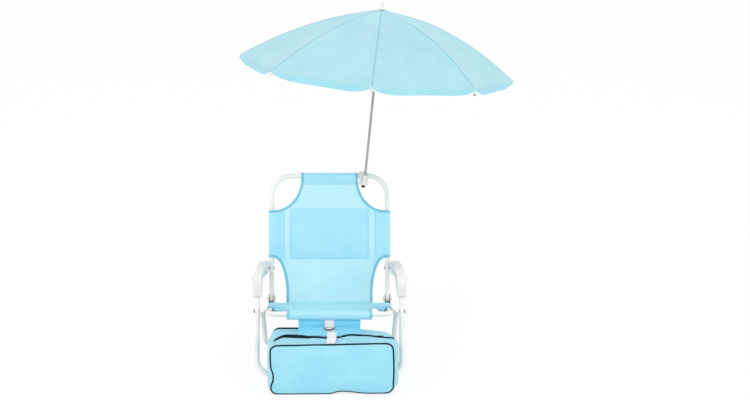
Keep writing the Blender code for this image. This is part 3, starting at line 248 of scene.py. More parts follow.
# Materials
def hexColour(text):
    # sRGB hex to the linear colour that Blender wants
    parts = [int(text[i : i + 2], 16) / 255 for i in (1, 3, 5)]
    linear = [part / 12.92 if part <= 0.04045 else ((part + 0.055) / 1.055) ** 2.4 for part in parts]
    return (*linear, 1.0)


def addNode(tree, kind, settings=None, links=None):
    node = tree.nodes.new(kind)
    for key, value in (settings or {}).items():
        if isinstance(key, int) or key in node.inputs:
            node.inputs[key].default_value = value
        else:
            setattr(node, key, value)
    for key, source in (links or {}).items():
        tree.links.new(source, node.inputs[key])
    return node


def newMaterial(name, settings):
    material = bpy.data.materials.new(name)
    material.use_nodes = True
    tree = material.node_tree
    shader = tree.nodes["Principled BSDF"]
    for key, value in settings.items():
        shader.inputs[key].default_value = value
    return material, tree, shader


def coordinate(tree, kind="Object"):
    return addNode(tree, "ShaderNodeTexCoord").outputs[kind]


def texture(tree, kind, place, output="Fac", **settings):
    return addNode(tree, kind, settings, {"Vector": place}).outputs[output]


def colourFrom(tree, shader, factor, first, second, low=0.35, high=0.65):
    ramp = addNode(tree, "ShaderNodeValToRGB", links={"Fac": factor})
    for element, position, colour in zip(ramp.color_ramp.elements, (low, high), (first, second)):
        element.position = position
        element.color = hexColour(colour)
    tree.links.new(ramp.outputs["Color"], shader.inputs["Base Color"])


def bumpFrom(tree, shader, height, strength, distance, over=None):
    bump = addNode(tree, "ShaderNodeBump", {"Strength": strength, "Distance": distance}, {"Height": height})
    if over is not None:
        tree.links.new(over, bump.inputs["Normal"])
    tree.links.new(bump.outputs["Normal"], shader.inputs["Normal"])
    return bump.outputs["Normal"]


def roughFrom(tree, shader, factor, low, high):
    rough = addNode(tree, "ShaderNodeMapRange", {"To Min": low, "To Max": high}, {"Value": factor})
    tree.links.new(rough.outputs["Result"], shader.inputs["Roughness"])


def powderCoat():
    # Polyester powder coat on steel: an even white with a faint orange-peel surface
    material, tree, shader = newMaterial("whitePowderCoatOnSteel", {"Specular IOR Level": 0.12, "IOR": 1.5})
    place = coordinate(tree)
    cloud = texture(tree, "ShaderNodeTexNoise", place, Scale=22.0, Detail=4.0)
    colourFrom(tree, shader, cloud, "#E2E1DE", "#EDECE9")
    bumpFrom(tree, shader, texture(tree, "ShaderNodeTexNoise", place, Scale=900.0, Detail=2.0), 0.25, 0.0002)
    roughFrom(tree, shader, cloud, 0.46, 0.6)
    return material


def mouldedPlastic(name, dark, light):
    # Injection-moulded plastic: waxy, with a fine spark-eroded grain
    material, tree, shader = newMaterial(name, {"Roughness": 0.5, "Specular IOR Level": 0.25, "IOR": 1.49})
    place = coordinate(tree)
    colourFrom(tree, shader, texture(tree, "ShaderNodeTexNoise", place, Scale=35.0, Detail=3.0), dark, light)
    bumpFrom(tree, shader, texture(tree, "ShaderNodeTexNoise", place, Scale=1300.0, Detail=3.0), 0.3, 0.00015)
    return material


def zincSteel():
    # Zinc-plated steel wire and rivets: grey, with drawing marks along the pole
    material, tree, shader = newMaterial("zincPlatedSteel", {"Metallic": 1.0, "Roughness": 0.36})
    along = addNode(tree, "ShaderNodeMapping", {"Scale": (900.0, 900.0, 25.0)}, {"Vector": coordinate(tree)})
    drawn = texture(tree, "ShaderNodeTexNoise", along.outputs["Vector"], Scale=1.0, Detail=3.0)
    colourFrom(tree, shader, drawn, "#929190", "#B2B0AE")
    roughFrom(tree, shader, drawn, 0.28, 0.48)
    return material


def wovenCloth(name, dark, light, threadMm, weaveDepth, creaseDepth, roughness=0.78, sheen=0.25):
    # Plain-woven polyester: threads both ways, with soft clouding where the cloth has been folded
    settings = {"Roughness": roughness, "Sheen Weight": sheen, "Sheen Roughness": 0.5}
    material, tree, shader = newMaterial(name, {**settings, "IOR": 1.45, "Specular IOR Level": 0.3})
    uv, place = coordinate(tree, "UV"), coordinate(tree)
    wave = {"Scale": 0.31416 / (threadMm * 0.001), "Distortion": 0.6, "Detail": 1.0}
    warp, weft = [texture(tree, "ShaderNodeTexWave", uv, bands_direction=way, **wave) for way in "XY"]
    threads = addNode(tree, "ShaderNodeMath", {"operation": "MULTIPLY"}, {0: warp, 1: weft}).outputs["Value"]
    cloud = texture(tree, "ShaderNodeTexNoise", place, Scale=14.0, Detail=5.0, Roughness=0.6)
    mixed = addNode(tree, "ShaderNodeMath", {"operation": "MULTIPLY_ADD", 1: 0.22}, {0: threads, 2: cloud})
    colourFrom(tree, shader, mixed.outputs["Value"], dark, light, 0.3, 0.85)
    weave = bumpFrom(tree, shader, threads, 0.5, weaveDepth)
    crease = texture(tree, "ShaderNodeTexNoise", place, Scale=30.0, Detail=4.0, Distortion=0.8)
    bumpFrom(tree, shader, crease, 0.6, creaseDepth, weave)
    return material


def webbingStrap():
    # Woven polypropylene webbing: ribs across the strap about 1.5 mm apart
    material, tree, shader = newMaterial("whiteWebbing", {"Roughness": 0.7, "Sheen Weight": 0.2})
    wave = {"bands_direction": "Y", "Scale": 210.0, "Distortion": 0.4, "Detail": 1.0}
    ribs = texture(tree, "ShaderNodeTexWave", coordinate(tree, "UV"), **wave)
    colourFrom(tree, shader, ribs, "#E2DEE4", "#FAF6FB", 0.1, 0.7)
    bumpFrom(tree, shader, ribs, 0.6, 0.0004)
    return material


def foilLining():
    # Crinkled silver insulating film inside the cooler
    material, tree, shader = newMaterial("silverCoolerLining", {"Metallic": 0.85, "Roughness": 0.32})
    crinkle = texture(tree, "ShaderNodeTexVoronoi", coordinate(tree), "Distance", Scale=90.0)
    colourFrom(tree, shader, crinkle, "#B9BDC2", "#DADDE0", 0.1, 0.8)
    bumpFrom(tree, shader, crinkle, 0.7, 0.0008)
    return material


finish = {
    "coat": powderCoat(),
    "plastic": mouldedPlastic("whiteMouldedPolypropylene", "#DAD9D5", "#E5E4E0"),
    "darkPlastic": mouldedPlastic("darkMouldedNylon", "#14181C", "#1F252A"),
    "steel": zincSteel(),
    "sling": wovenCloth("skyBluePolyesterSling", "#B4E3EF", "#C4EBF4", 1.6, 0.0004, 0.0010),
    "slingDouble": wovenCloth("skyBluePolyesterDoubled", "#9DD9ED", "#B0E2F2", 1.6, 0.0004, 0.0010),
    # the seat rows' copy of the sling cloth, deeper and greener: painted shade that offsets the sky's sheen on
    # the flat seat
    "slingSeatPaintedShade": wovenCloth("skyBluePolyesterSeatPaintedShade", "#96DFEE", "#A9E8F3", 1.6, 0.0004, 0.0010),
    "binding": wovenCloth("aquaBindingTape", "#6FB9D2", "#86C9DE", 1.2, 0.0003, 0.0003),
    "canopy": wovenCloth("paleBluePolyesterCanopy", "#98CBD4", "#A8D4DC", 1.4, 0.0002, 0.0008, 0.7),
    "valance": wovenCloth("paleBlueValance", "#90C9D7", "#A2D3DE", 1.4, 0.0002, 0.0008, 0.7),
    "edgeTape": wovenCloth("whiteEdgeTape", "#EDF3F5", "#FBFDFD", 1.2, 0.0002, 0.0002),
    "bag": wovenCloth("iceBlueCoatedPolyester", "#8CCEE2", "#9ED8E8", 1.4, 0.0003, 0.0030, 0.66),
    "flap": wovenCloth("brightBluePolyesterFlap", "#74CEEA", "#8EDDF2", 1.4, 0.0003, 0.0010),
    "piping": wovenCloth("navyPipingCord", "#031A24", "#072832", 1.2, 0.0002, 0.0002, 0.8, 0.0),
    "zipTape": wovenCloth("navyZipTape", "#031522", "#07202F", 1.0, 0.0002, 0.0002, 0.85, 0.0),
    "seam": wovenCloth("dullBlueSeamThread", "#7DB6C8", "#8FC6D6", 1.0, 0.0002, 0.0002),
    "thread": wovenCloth("skyBlueThread", "#8CCFE8", "#A2DDF1", 0.8, 0.0001, 0.0001),
    "webbing": webbingStrap(),
    "lining": foilLining(),
}
print("materials made:", len(finish))


def leftAndRight(*names):
    return [f"{name}_{sideName}" for name in names for sideName, _ in bothSides]


# CAD nodes that keep their shape and get a real finish
kept = {
    "plastic": leftAndRight("hinge_bracket", "leg_spacer", "rear_leg_plug")
    + ["umbrella_clamp", "clamp_jaw", "pole_socket", "umbrella_crown", "umbrella_runner"]
    + ["buckle_socket", "buckle_tongue"],
    "steel": leftAndRight("back_hinge_rivet", "leg_bolt", "arm_back_rivet", "arm_leg_rivet")
    + [f"{kind}_{i}" for kind in ("rib", "stretcher") for i in range(1, 9)],
    "darkPlastic": ["clamp_screw"],
}
for key, names in kept.items():
    for name in names:
        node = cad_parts[name]
        if not node.material_slots:
            node.data.materials.append(finish[key])
        for slot in node.material_slots:
            slot.material = finish[key]

# Bent steel frames, from the open end of each tube down to its bar
legTop = side["armLegPivot"] + 0.006 * side["backUp"]
rearLegUp = (side["legPivot"] - side["rearFloorBar"]).normalized()
frames = {
    "back": {"open": side["backPivot"] - 0.006 * side["backUp"], "bar": side["topBar"], "bend": 0.051},
    "seat": {"open": side["railRear"] - 0.008 * side["railFront"], "bar": side["frontBar"], "bend": 0.028},
    "frontLeg": {"open": legTop, "bar": side["floorBar"], "bend": 0.042},
    "rearLeg": {"open": side["legPivot"] + 0.008 * rearLegUp, "bar": side["rearFloorBar"], "bend": 0.040},
    "segments": 28,
    "bendSteps": 14,
    "wall": 0.0011,
    "plug": [(0, 0.0022), (0.0040, 0.0019), (0.0060, 0.0008), (0.0066, 0), (0.0066, -0.0060)]
    + [(0.0050, -0.0066), (0, -0.0066)],
}


def bentFrame(name, half, facts, body, node):
    bm = bmesh.new()
    upward = (facts["open"] - facts["bar"]).normalized()
    straight = (facts["open"] - facts["bar"]).length - facts["bend"]
    start = across(facts["open"], -half)
    bmesh.ops.create_circle(
        bm, segments=frames["segments"], radius=tubeRadius, matrix=lookMatrix(start, -upward, xAxis)
    )
    ring = bm.edges[:]
    bendAxis = (-upward).cross(xAxis)

    def goStraight(edges, step):
        grown = bmesh.ops.extrude_edge_only(bm, edges=edges)["geom"]
        verts = ofKind(grown, bmesh.types.BMVert)
        bmesh.ops.translate(bm, verts=verts, vec=step)
        return [edge for edge in ofKind(grown, bmesh.types.BMEdge) if all(v in verts for v in edge.verts)]

    def goRound(edges, centre):
        geometry = list(dict.fromkeys(vert for edge in edges for vert in edge.verts)) + edges
        steps = frames["bendSteps"]
        grown = bmesh.ops.spin(bm, geom=geometry, cent=centre, axis=bendAxis, angle=pi / 2, steps=steps)
        return ofKind(grown["geom_last"], bmesh.types.BMEdge)

    ring = goStraight(ring, -upward * straight)
    bendStart = start - upward * straight
    ring = goRound(ring, bendStart + xAxis * facts["bend"])
    ring = goStraight(ring, xAxis * 2 * (half - facts["bend"]))
    ring = goRound(ring, across(bendStart, half - facts["bend"]))
    goStraight(ring, upward * straight)
    tidyMesh(bm)
    bmesh.ops.solidify(bm, geom=bm.faces[:], thickness=frames["wall"])
    newPiece(name, bm, ["coat"], body, replaced=(node,))
    # a moulded plug closes each open end
    for sideName, sign in bothSides:
        matrix = lookMatrix(across(facts["open"], sign * half), upward, xAxis)
        turnedPiece(f"{name}Plug_{sideName}", frames["plug"], matrix, 24, "plastic", body)


bentFrame("backTube", halfWidth["back"], frames["back"], "back", "back_frame")
bentFrame("seatTube", halfWidth["back"], frames["seat"], "seat", "seat_frame")
bentFrame("frontLegTube", halfWidth["frontLeg"], frames["frontLeg"], "front_legs", "front_leg_frame")
bentFrame("rearLegTube", halfWidth["rearLeg"], frames["rearLeg"], "rear_legs", "rear_leg_frame")
print("frames bent")

# Moulded armrests: an inverted channel with a rounded crown and a hood down the front leg
arm = {
    "front": 0.0125,
    "hoodDrop": 0.043,
    "hoodBack": 0.0085,
    "crest": 0.027,
    "rearCrest": 0.018,
    "skirt": 0.009,
    "reach": 0.180406,
    "crownSlope": radians(9),
    "halfFront": 0.0113,
    "archLean": 0.0085,
    "archFrom": 0.007,
    "archOver": 0.024,
    "halfRear": 0.0105,
    "rearMiddle": 0.1706,
    "shearStart": 0.40,
    "shearEnd": 0.86,
    "shearLead": 0.02,
    "shearStep": 0.0325,
    "shearCuts": 17,
    "sharp": radians(50),
    "edgeRound": 0.0032,
    "fineRound": 0.0006,
    "wall": 0.003,
    "screwDrop": 0.0275,
    "screw": [(0, -0.002), (0.0016, -0.002), (0.0016, 0.0), (0.0029, 0.0), (0.0027, 0.0009)]
    + [(0.0014, 0.0014), (0, 0.0014)],
}
# radius and steps of the crown, the tail's top and foot, the corner behind the hood and the hood's front foot
armRounding = {1: (0.030, 12), 2: (0.013, 8), 3: (0.007, 5), 4: (0.012, 6), 0: (0.003, 3)}


def roundOff(bm, geometry, offset, segments, affect, clamp):
    bmesh.ops.bevel(
        bm,
        geom=geometry,
        offset=offset,
        offset_type="OFFSET",
        segments=segments,
        profile=0.5,
        affect=affect,
        material=-1,
        clamp_overlap=clamp,
    )


def roundCorner(bm, vert, radius, segments):
    first, second = [edge.other_vert(vert).co - vert.co for edge in vert.link_edges]
    turn = pi - first.angle(second)
    roundOff(bm, [vert], radius * tan(turn / 2), segments, "VERTICES", False)


def makeArmrest(name, sign, body, node):
    pivot = side["armLegPivot"]
    along = (side["armBackPivot"] - pivot).normalized()
    upward = xAxis.cross(along).normalized()
    down = -side["backUp"]
    frontwards = arm["front"] * side["backFront"]
    backwards = -arm["hoodBack"] * side["backFront"]
    corners = [
        frontwards + arm["hoodDrop"] * down,
        frontwards + (arm["crest"] + arm["front"] * tan(arm["crownSlope"])) * side["backUp"],
        arm["reach"] * along + arm["rearCrest"] * upward,
        arm["reach"] * along - arm["skirt"] * upward,
        backwards + arm["skirt"] * down,
        backwards + arm["hoodDrop"] * down,
    ]
    bm = bmesh.new()
    verts = [bm.verts.new(corner + pivot) for corner in corners]
    bm.faces.new(verts)
    for index, (radius, segments) in armRounding.items():
        roundCorner(bm, verts[index], radius, segments)
    bmesh.ops.translate(bm, verts=bm.verts, vec=(-arm["halfFront"], 0, 0))
    grown = bmesh.ops.extrude_face_region(bm, geom=bm.faces[:])["geom"]
    bmesh.ops.translate(bm, verts=ofKind(grown, bmesh.types.BMVert), vec=(2 * arm["halfFront"], 0, 0))
    span = side["armBackPivot"].y - pivot.y
    for i in range(arm["shearCuts"]):
        cutAcross(bm, 1, pivot.y + span * (arm["shearStart"] - arm["shearLead"] + i * arm["shearStep"]))
    tidyMesh(bm)
    # the underside and the back of the hood are open
    openFaces = []
    for item in bm.faces:
        middle = item.calc_center_median() - pivot
        facing = item.normal
        if abs(facing.x) > 0.5:
            continue
        under = facing.dot(upward) < -0.4 and middle.dot(along) > -0.006
        behind = facing.dot(side["backFront"]) < -0.6 and middle.dot(along) < 0.03
        if under or behind or facing.dot(down) > 0.85:
            openFaces.append(item)
    bmesh.ops.delete(bm, geom=openFaces, context="FACES")
    # the arm runs inwards from the leg to the back, and its arch leans in
    rearShift = halfWidth["frontLeg"] - arm["rearMiddle"]
    for vert in bm.verts:
        share = (vert.co.y - pivot.y) / span
        moved = shapeSmooth((share - arm["shearStart"]) / (arm["shearEnd"] - arm["shearStart"]))
        squeeze = 1 - (1 - arm["halfRear"] / arm["halfFront"]) * moved
        rise = (vert.co - pivot).dot(upward)
        lean = arm["archLean"] * shapeSmooth((rise - arm["archFrom"]) / arm["archOver"]) * (1 - moved)
        vert.co.x = sign * (halfWidth["frontLeg"] - rearShift * moved - lean) + vert.co.x * squeeze
    bmesh.ops.recalc_face_normals(bm, faces=bm.faces)
    centre = sign * (halfWidth["frontLeg"] - rearShift / 2)
    if sum(item.normal.x * (item.calc_center_median().x - centre) for item in bm.faces) < 0:
        bmesh.ops.reverse_faces(bm, faces=bm.faces)
    sharp = [edge for edge in bm.edges if len(edge.link_faces) == 2 and edge.calc_face_angle(0) > arm["sharp"]]
    roundOff(bm, sharp, arm["edgeRound"], 4, "EDGES", True)
    piece = newPiece(name, bm, ["plastic"], body, 60, (node,))
    addModifier(piece, "SOLIDIFY", thickness=arm["wall"], offset=-1, use_even_offset=True)
    limit = {"limit_method": "ANGLE", "angle_limit": radians(60)}
    addModifier(piece, "BEVEL", width=arm["fineRound"], segments=2, **limit)
    applyModifiers(piece)


for sideName, sign in bothSides:
    makeArmrest(f"armrestShell_{sideName}", sign, f"armrest_{sideName}", f"armrest_{sideName}")
    # self-tapping screw in the inner cheek of the hood
    screwPlace = side["armLegPivot"] - arm["screwDrop"] * side["backUp"]
    screwPlace = across(screwPlace, sign * (halfWidth["frontLeg"] - arm["halfFront"]))
    screwMatrix = lookMatrix(screwPlace, xAxis * -sign, zAxis)
    turnedPiece(f"hoodScrew_{sideName}", arm["screw"], screwMatrix, 20, "steel", f"armrest_{sideName}")
print("armrests moulded")

# Cloth sling: one length of cloth from the top bar down the back, round the seat and over the front bar
sling = {
    "neck": 0.0735,
    "sleeveTop": 0.230,
    "sleeveFoot": 0.108,
    "waist": 0.112,
    "stitch": 0.1185,
    "flatHalf": 0.1445,
    "seatSleeveRear": 0.022,
    "seatSleeveFront": 0.112,
    "nose": 0.105,
    "backLength": 0.322,
    "seatLength": 0.2346,
    "wrap": 0.0073,
    "ply": 0.0011,
    "noseDrop": 0.0060,
    "droop": 0.0112,
    "droopReach": 0.016,
    "tongue": 0.036,
    "hem": 0.023,
    "backSag": 0.006,
    "seatSag": 0.0035,
    "seatLift": 0.0056,
    "bendLift": 0.006,
    "bendReach": 0.055,
    "bendFrom": 0.012,
    "columns": 48,
    "thickness": 0.0012,
    "sleeveThick": 0.0010,
    "sleeveRows": 16,
    "edgeGap": 0.0006,
    "tapeHalf": 0.0034,
    "tapeThick": 0.0009,
    "tapeCurl": 0.45,
    "tapeRise": 0.0006,
    "tapeSides": 12,
}
noiseShift = Vector((3.1, 7.7, 1.3))


def clothRipple(point, size, height):
    return height * noise.noise(point / size + noiseShift)


def curvedCut(start, end, bulge, steps):
    # points that leave the start upright and meet the end flat
    points = []
    for i in range(steps + 1):
        angle = pi / 2 * i / steps
        run = 1 - cos(angle) ** bulge if i < steps else 1.0
        rise = sin(angle) ** bulge
        points.append((start[0] + (end[0] - start[0]) * run, start[1] + (end[1] - start[1]) * rise))
    return points


# cut-outs as (half width, along) pairs
upperCut = curvedCut((sling["neck"], sling["backLength"]), (halfWidth["back"], sling["sleeveTop"]), 0.95, 18)
lowerCut = curvedCut((sling["waist"], 0.0), (halfWidth["back"], sling["sleeveFoot"]), 0.9, 18)
rearCorner = [(sling["waist"], 0.014), (0.1132, 0.0163), (0.1175, 0.0190), (0.126, 0.0206)]
rearCorner.append((sling["flatHalf"], 0.0222))
seatCut = curvedCut((sling["nose"], 0.1733), (halfWidth["back"], sling["seatSleeveFront"]), 0.9, 14)


def bendShare(x, along):
    # the cloth cuts the corner between the back and the seat, most in the middle
    near = max(0.0, 1 - along / sling["bendReach"]) ** 2
    return near * (1 - shapeSmooth((abs(x) - 0.098) / 0.018))


def backAxis(along):
    return side["backPivot"] + along * side["backUp"]


def seatAxis(along):
    return side["railRear"] + along * side["railFront"]


def spreadOf(x):
    return max(0.0, 1 - (x / halfWidth["back"]) ** 2)


def backSurface(x, along, forward=0.0):
    # A point on the back cloth: along the back from its hinge, forward towards the sitter
    sag = sling["backSag"] * spreadOf(x) * sin(pi * min(max(along / sling["backLength"], 0), 1))
    forward += sling["bendLift"] * bendShare(x, along)
    point = across(backAxis(along) + (forward - sag) * side["backFront"], x)
    tension = 0.4 + 0.6 * abs(x) / halfWidth["back"]
    return point + side["backFront"] * clothRipple(Vector((x, along * 0.45, 0.0)), 0.030, 0.0011 * tension)


def firstAlong(cut, x, otherwise):
    # where along the panel a cut-out first comes out to this half width
    return next((along for width, along in cut if width >= x), otherwise)


def seatDroop(x, along):
    # the front edge of each seat sleeve hangs down beside its tube, from 0 to 1
    wide = abs(x)
    if wide < 0.100 or wide > 0.1451:
        return 0.0
    front = firstAlong(seatCut, wide, sling["seatSleeveFront"])
    near = shapeSmooth(1 - (front - along) / sling["droopReach"])
    inner = shapeSmooth((wide - 0.115) / 0.018)
    if x < 0:
        further = 0.62 + 0.38 * shapeSmooth((wide - 0.112) / 0.02)
        inner = max(inner, shapeSmooth((wide - 0.104) / 0.006) * further)
    return near * inner * (1 - shapeSmooth((wide - 0.1400) / 0.0048))


def seatSurface(x, along, upward=0.0):
    # A point on the seat cloth: along the seat from the rear, upward from its rails' middle
    share = min(max(along / sling["seatLength"], 0), 1)
    sag = sling["seatSag"] * spreadOf(x) * sin(pi * share**0.85)
    raised = sling["seatLift"] + sling["bendLift"] * bendShare(x, along)
    upward += raised - sling["droop"] * seatDroop(x, along)
    point = across(seatAxis(along) + (upward - sag) * side["railUp"], x)
    return point + side["railUp"] * clothRipple(Vector((x, 0.5 + along * 0.5, 0.0)), 0.034, 0.0010)


def cutWidth(cut, along):
    # half width of a cut-out at this distance along the panel
    for (x0, a0), (x1, a1) in zip(cut, cut[1:]):
        if min(a0, a1) <= along <= max(a0, a1) and a0 != a1:
            return x0 + (x1 - x0) * (along - a0) / (a1 - a0)
    return cut[0][0] if abs(along - cut[0][1]) < abs(along - cut[-1][1]) else cut[-1][0]


def slingRows():
    # (kind, along, offset, half width, slot), from the rear hem of the top bar to that of the front bar
    rows = []
    roundBar = [pi * i / 12 for i in range(1, 12)]
    top, wrap, hem, ply, neck = [sling[key] for key in ("backLength", "wrap", "hem", "ply", "neck")]
    for share in shares(4):
        rows.append(("back", top - hem * (1 - share), -ply - (wrap - ply) * shapeSmooth(share), neck, 1))
    rows += [("back", top + wrap * sin(angle), -wrap * cos(angle), neck, 1) for angle in roundBar]
    for share in shares(6):
        along = top - hem * share
        width = min(cutWidth(upperCut, along), neck + 0.03 * share**2)
        rows.append(("back", along, wrap - (wrap - 0.0003) * shapeSmooth(share), width, 1))
    alongs = [along for _, along in upperCut if along < top - hem - 0.002]
    alongs += [sling["sleeveTop"] - 0.004 - i * 0.0119 for i in range(10)]
    alongs += [along for _, along in reversed(lowerCut) if along > sling["bendFrom"]]
    for along in alongs:
        width = halfWidth["back"]
        if along >= sling["sleeveTop"]:
            width = cutWidth(upperCut, along)
        elif along <= sling["sleeveFoot"]:
            width = cutWidth(lowerCut, along)
        rows.append(("back", along, 0.0, min(width, sling["flatHalf"]), 0))
    rows += [("crease", share, 0.0, sling["waist"], 0) for share in shares(6)]
    seat = rearCorner + [(sling["flatHalf"], 0.024 + i * 0.0096) for i in range(10)]
    seat += [(x, along + 0.0005) for x, along in reversed(seatCut)]
    seat += [(sling["nose"], 0.1805 + i * 0.0125) for i in range(3)]
    # the seat rows take slot 2, the sling cloth with painted shade
    rows += [("seat", along, 0.0, min(x, sling["flatHalf"]), 2) for x, along in seat]
    length, lift, drop, nose = [sling[key] for key in ("seatLength", "seatLift", "noseDrop", "nose")]
    for share in shares(6)[1:]:
        rows.append(("seat", length - hem * (1 - share), (wrap - lift) * shapeSmooth(share), nose, 1))
    for i, angle in enumerate(roundBar, 1):
        offset = wrap * cos(angle) - lift - drop * shapeSmooth(i / 12)
        rows.append(("seat", length + wrap * sin(angle), offset, nose, 1))
    for share in shares(4):
        under = wrap + lift + drop
        rows.append(("seat", length - hem * share, -under + (under - 0.0013) * shapeSmooth(share), nose, 1))
    return rows


def slingPoint(kind, along, offset, x):
    if kind == "back":
        return backSurface(x, along, offset)
    if kind == "seat":
        return seatSurface(x, along, offset)
    first, last = backSurface(x, 0.010), seatSurface(x, 0.012)
    raised = 0.0015 + sling["seatLift"] + sling["bendLift"] * bendShare(x, 0)
    corner = across(seatAxis(0.0035) + raised * side["railUp"], x)
    return first.lerp(corner, along).lerp(corner.lerp(last, along), along)


bendStart, bendEnd = tuple(seatAxis(0.020)), tuple(backAxis(0.025))


def makeSling():
    rows = slingRows()
    travelled = runLengths([slingPoint(*row[:3], 0.0) for row in rows])
    final = len(rows) - 1

    def place(u, fromEnd):
        kind, along, offset, width, _ = rows[final - fromEnd]
        return slingPoint(kind, along, offset, u * width), (u * width, travelled[final - fromEnd])

    def slot(fromEnd):
        return min(rows[final - fromEnd][4], rows[final - fromEnd - 1][4])

    bm = clothGrid(sling["columns"], final, place, slot)
    # the third look is the seat's cloth with painted shade
    looks = ["sling", "slingDouble", "slingSeatPaintedShade"]
    piece = thickSheet("slingCloth", bm, looks, None, sling["thickness"], ("back_sling", "seat_sling"))
    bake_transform(piece)
    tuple(bendStart)
    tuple(bendEnd)


def sleevePiece(name, sign, body, surface, axisPoint, alongs, forwardSide, lift):
    # Doubled cloth round one side tube: a flattened loop from the stitch line round the tube and back
    inner, wrap, half, ply = sling["stitch"], sling["wrap"], halfWidth["back"], sling["ply"]
    flank = [(share, inner + (half - inner) * share) for share in shares(8)]
    section = [(x, lift + ply + (wrap - lift - ply) * shapeSmooth(share)) for share, x in flank]
    section += [(half + wrap * sin(pi * share), wrap * cos(pi * share)) for share in shares(16)[1:-1]]
    for share, x in reversed(flank):
        section.append((x, lift - ply - (wrap + lift - ply) * shapeSmooth(1.5 * share)))

    def place(u, row):
        column = round((u + 1) / 2 * (len(section) - 1))
        share = row / sling["sleeveRows"]
        x, forward = section[column]
        low, high = alongs(min(x, half - 0.0005))
        along = low + (high - low) * share
        if x > half:
            point = across(axisPoint(along), sign * x) + forward * forwardSide
            return point, (column * 0.0024, along)
        offset = (forward - lift) * (1 + 0.05 * sin(40 * pi * share) * sin(pi * share))
        if lift and forward < lift:
            # the lower ply closes up where the sleeve hangs beside its tube
            offset = (offset + ply) * (1 - seatDroop(sign * x, along)) - ply
        return surface(sign * x, along, offset), (column * 0.0024, along)

    bm = clothGrid(len(section) - 1, sling["sleeveRows"], place)
    thickSheet(name, bm, ["slingDouble"], body, sling["sleeveThick"])


def alongsOfBack(x):
    foot, top = firstAlong(lowerCut, x, sling["sleeveFoot"]), firstAlong(upperCut, x, sling["sleeveTop"])
    return foot + sling["edgeGap"], top - sling["edgeGap"]


def sleeveTongue(x):
    # how much further forward a seat sleeve reaches round its tube than beside it
    return sling["tongue"] * shapeSmooth((x - 0.1425) / 0.006)


def alongsOfSeat(x):
    front = firstAlong(seatCut, x, sling["seatSleeveFront"])
    return sling["seatSleeveRear"], front - sling["edgeGap"] + sleeveTongue(x)


def stitchLine(name, points, normal, body, step=0.0045, gap=0.0013, radius=0.00032):
    # Lockstitch thread, drawn 0.6 mm thick so that it shows
    bm = bmesh.new()
    total = 0.0
    for before, after in zip(points, points[1:]):
        length = (after - before).length
        if length < 1e-6:
            continue
        direction = (after - before) / length
        place = step - (total % step)
        while place < length:
            matrix = lookMatrix(before + direction * place, direction, normal)
            size = {"segments": 5, "radius1": radius, "radius2": radius, "depth": step - gap}
            bmesh.ops.create_cone(bm, cap_ends=True, matrix=matrix, **size)
            place += step
        total += length
    newPiece(name, bm, ["thread"], body, 60)


def foldedTape(name, path, centre, body):
    # Bias tape folded over a cut edge: path holds points on the edge with the cloth's normal there
    halfWide, around = sling["tapeHalf"], sling["tapeSides"]
    bm, uvLayer = clothMesh()
    rings, flat, travelled, lastOut = [], {}, 0.0, None
    for i, (point, normal) in enumerate(path):
        before, after = path[max(i - 1, 0)][0], path[min(i + 1, len(path) - 1)][0]
        direction = (after - before).normalized()
        normal = (normal - direction * normal.dot(direction)).normalized()
        out = normal.cross(direction)
        if out.dot(lastOut or point - centre) < 0:
            out.negate()
        lastOut = out
        travelled += (point - before).length
        middle = point - out * (halfWide - 0.0005)
        ring = []
        for k in range(around):
            angle = 2 * pi * k / around
            wide = abs(cos(angle)) ** 0.7 * (1 if cos(angle) > 0 else -1)
            vert = bm.verts.new(middle + out * halfWide * wide + normal * sling["tapeThick"] * sin(angle))
            flat[vert] = (halfWide * angle, travelled)
            ring.append(vert)
        rings.append(ring)
    for first, second in zip(rings, rings[1:]):
        for k in range(around):
            bm.faces.new((first[k], first[(k + 1) % around], second[(k + 1) % around], second[k]))
    bm.faces.new(rings[0])
    bm.faces.new(rings[-1])
    layFlat(bm, uvLayer, flat)
    return newPiece(name, bm, ["binding"], body, 60)


def roundTube(sign, axisPoint, forwardSide, along):
    # the tape's way round a side tube at one end of its sleeve
    reach = sling["wrap"] + 0.0001
    found = []
    for i in range(8):
        angle = pi * 0.11 * i
        point = across(axisPoint(along), sign * (halfWidth["back"] + reach * sin(angle)))
        point += reach * cos(angle) * forwardSide
        found.append((point, xAxis * sign * sin(angle) + forwardSide * cos(angle)))
    return found


def sleeveRise(x, lift=0.0):
    share = (x - sling["stitch"]) / (halfWidth["back"] - sling["stitch"])
    return sling["tapeRise"] + (sling["wrap"] - lift) * shapeSmooth(share)


def leaning(normal, sign, x, along):
    # the tape leans with the cloth where that rises towards the corner of the seat
    reach = 2 * sling["tapeHalf"]
    slope = sling["bendLift"] * (bendShare(x - reach, along) - bendShare(x, along)) / reach
    return (normal + sign * slope * xAxis).normalized()


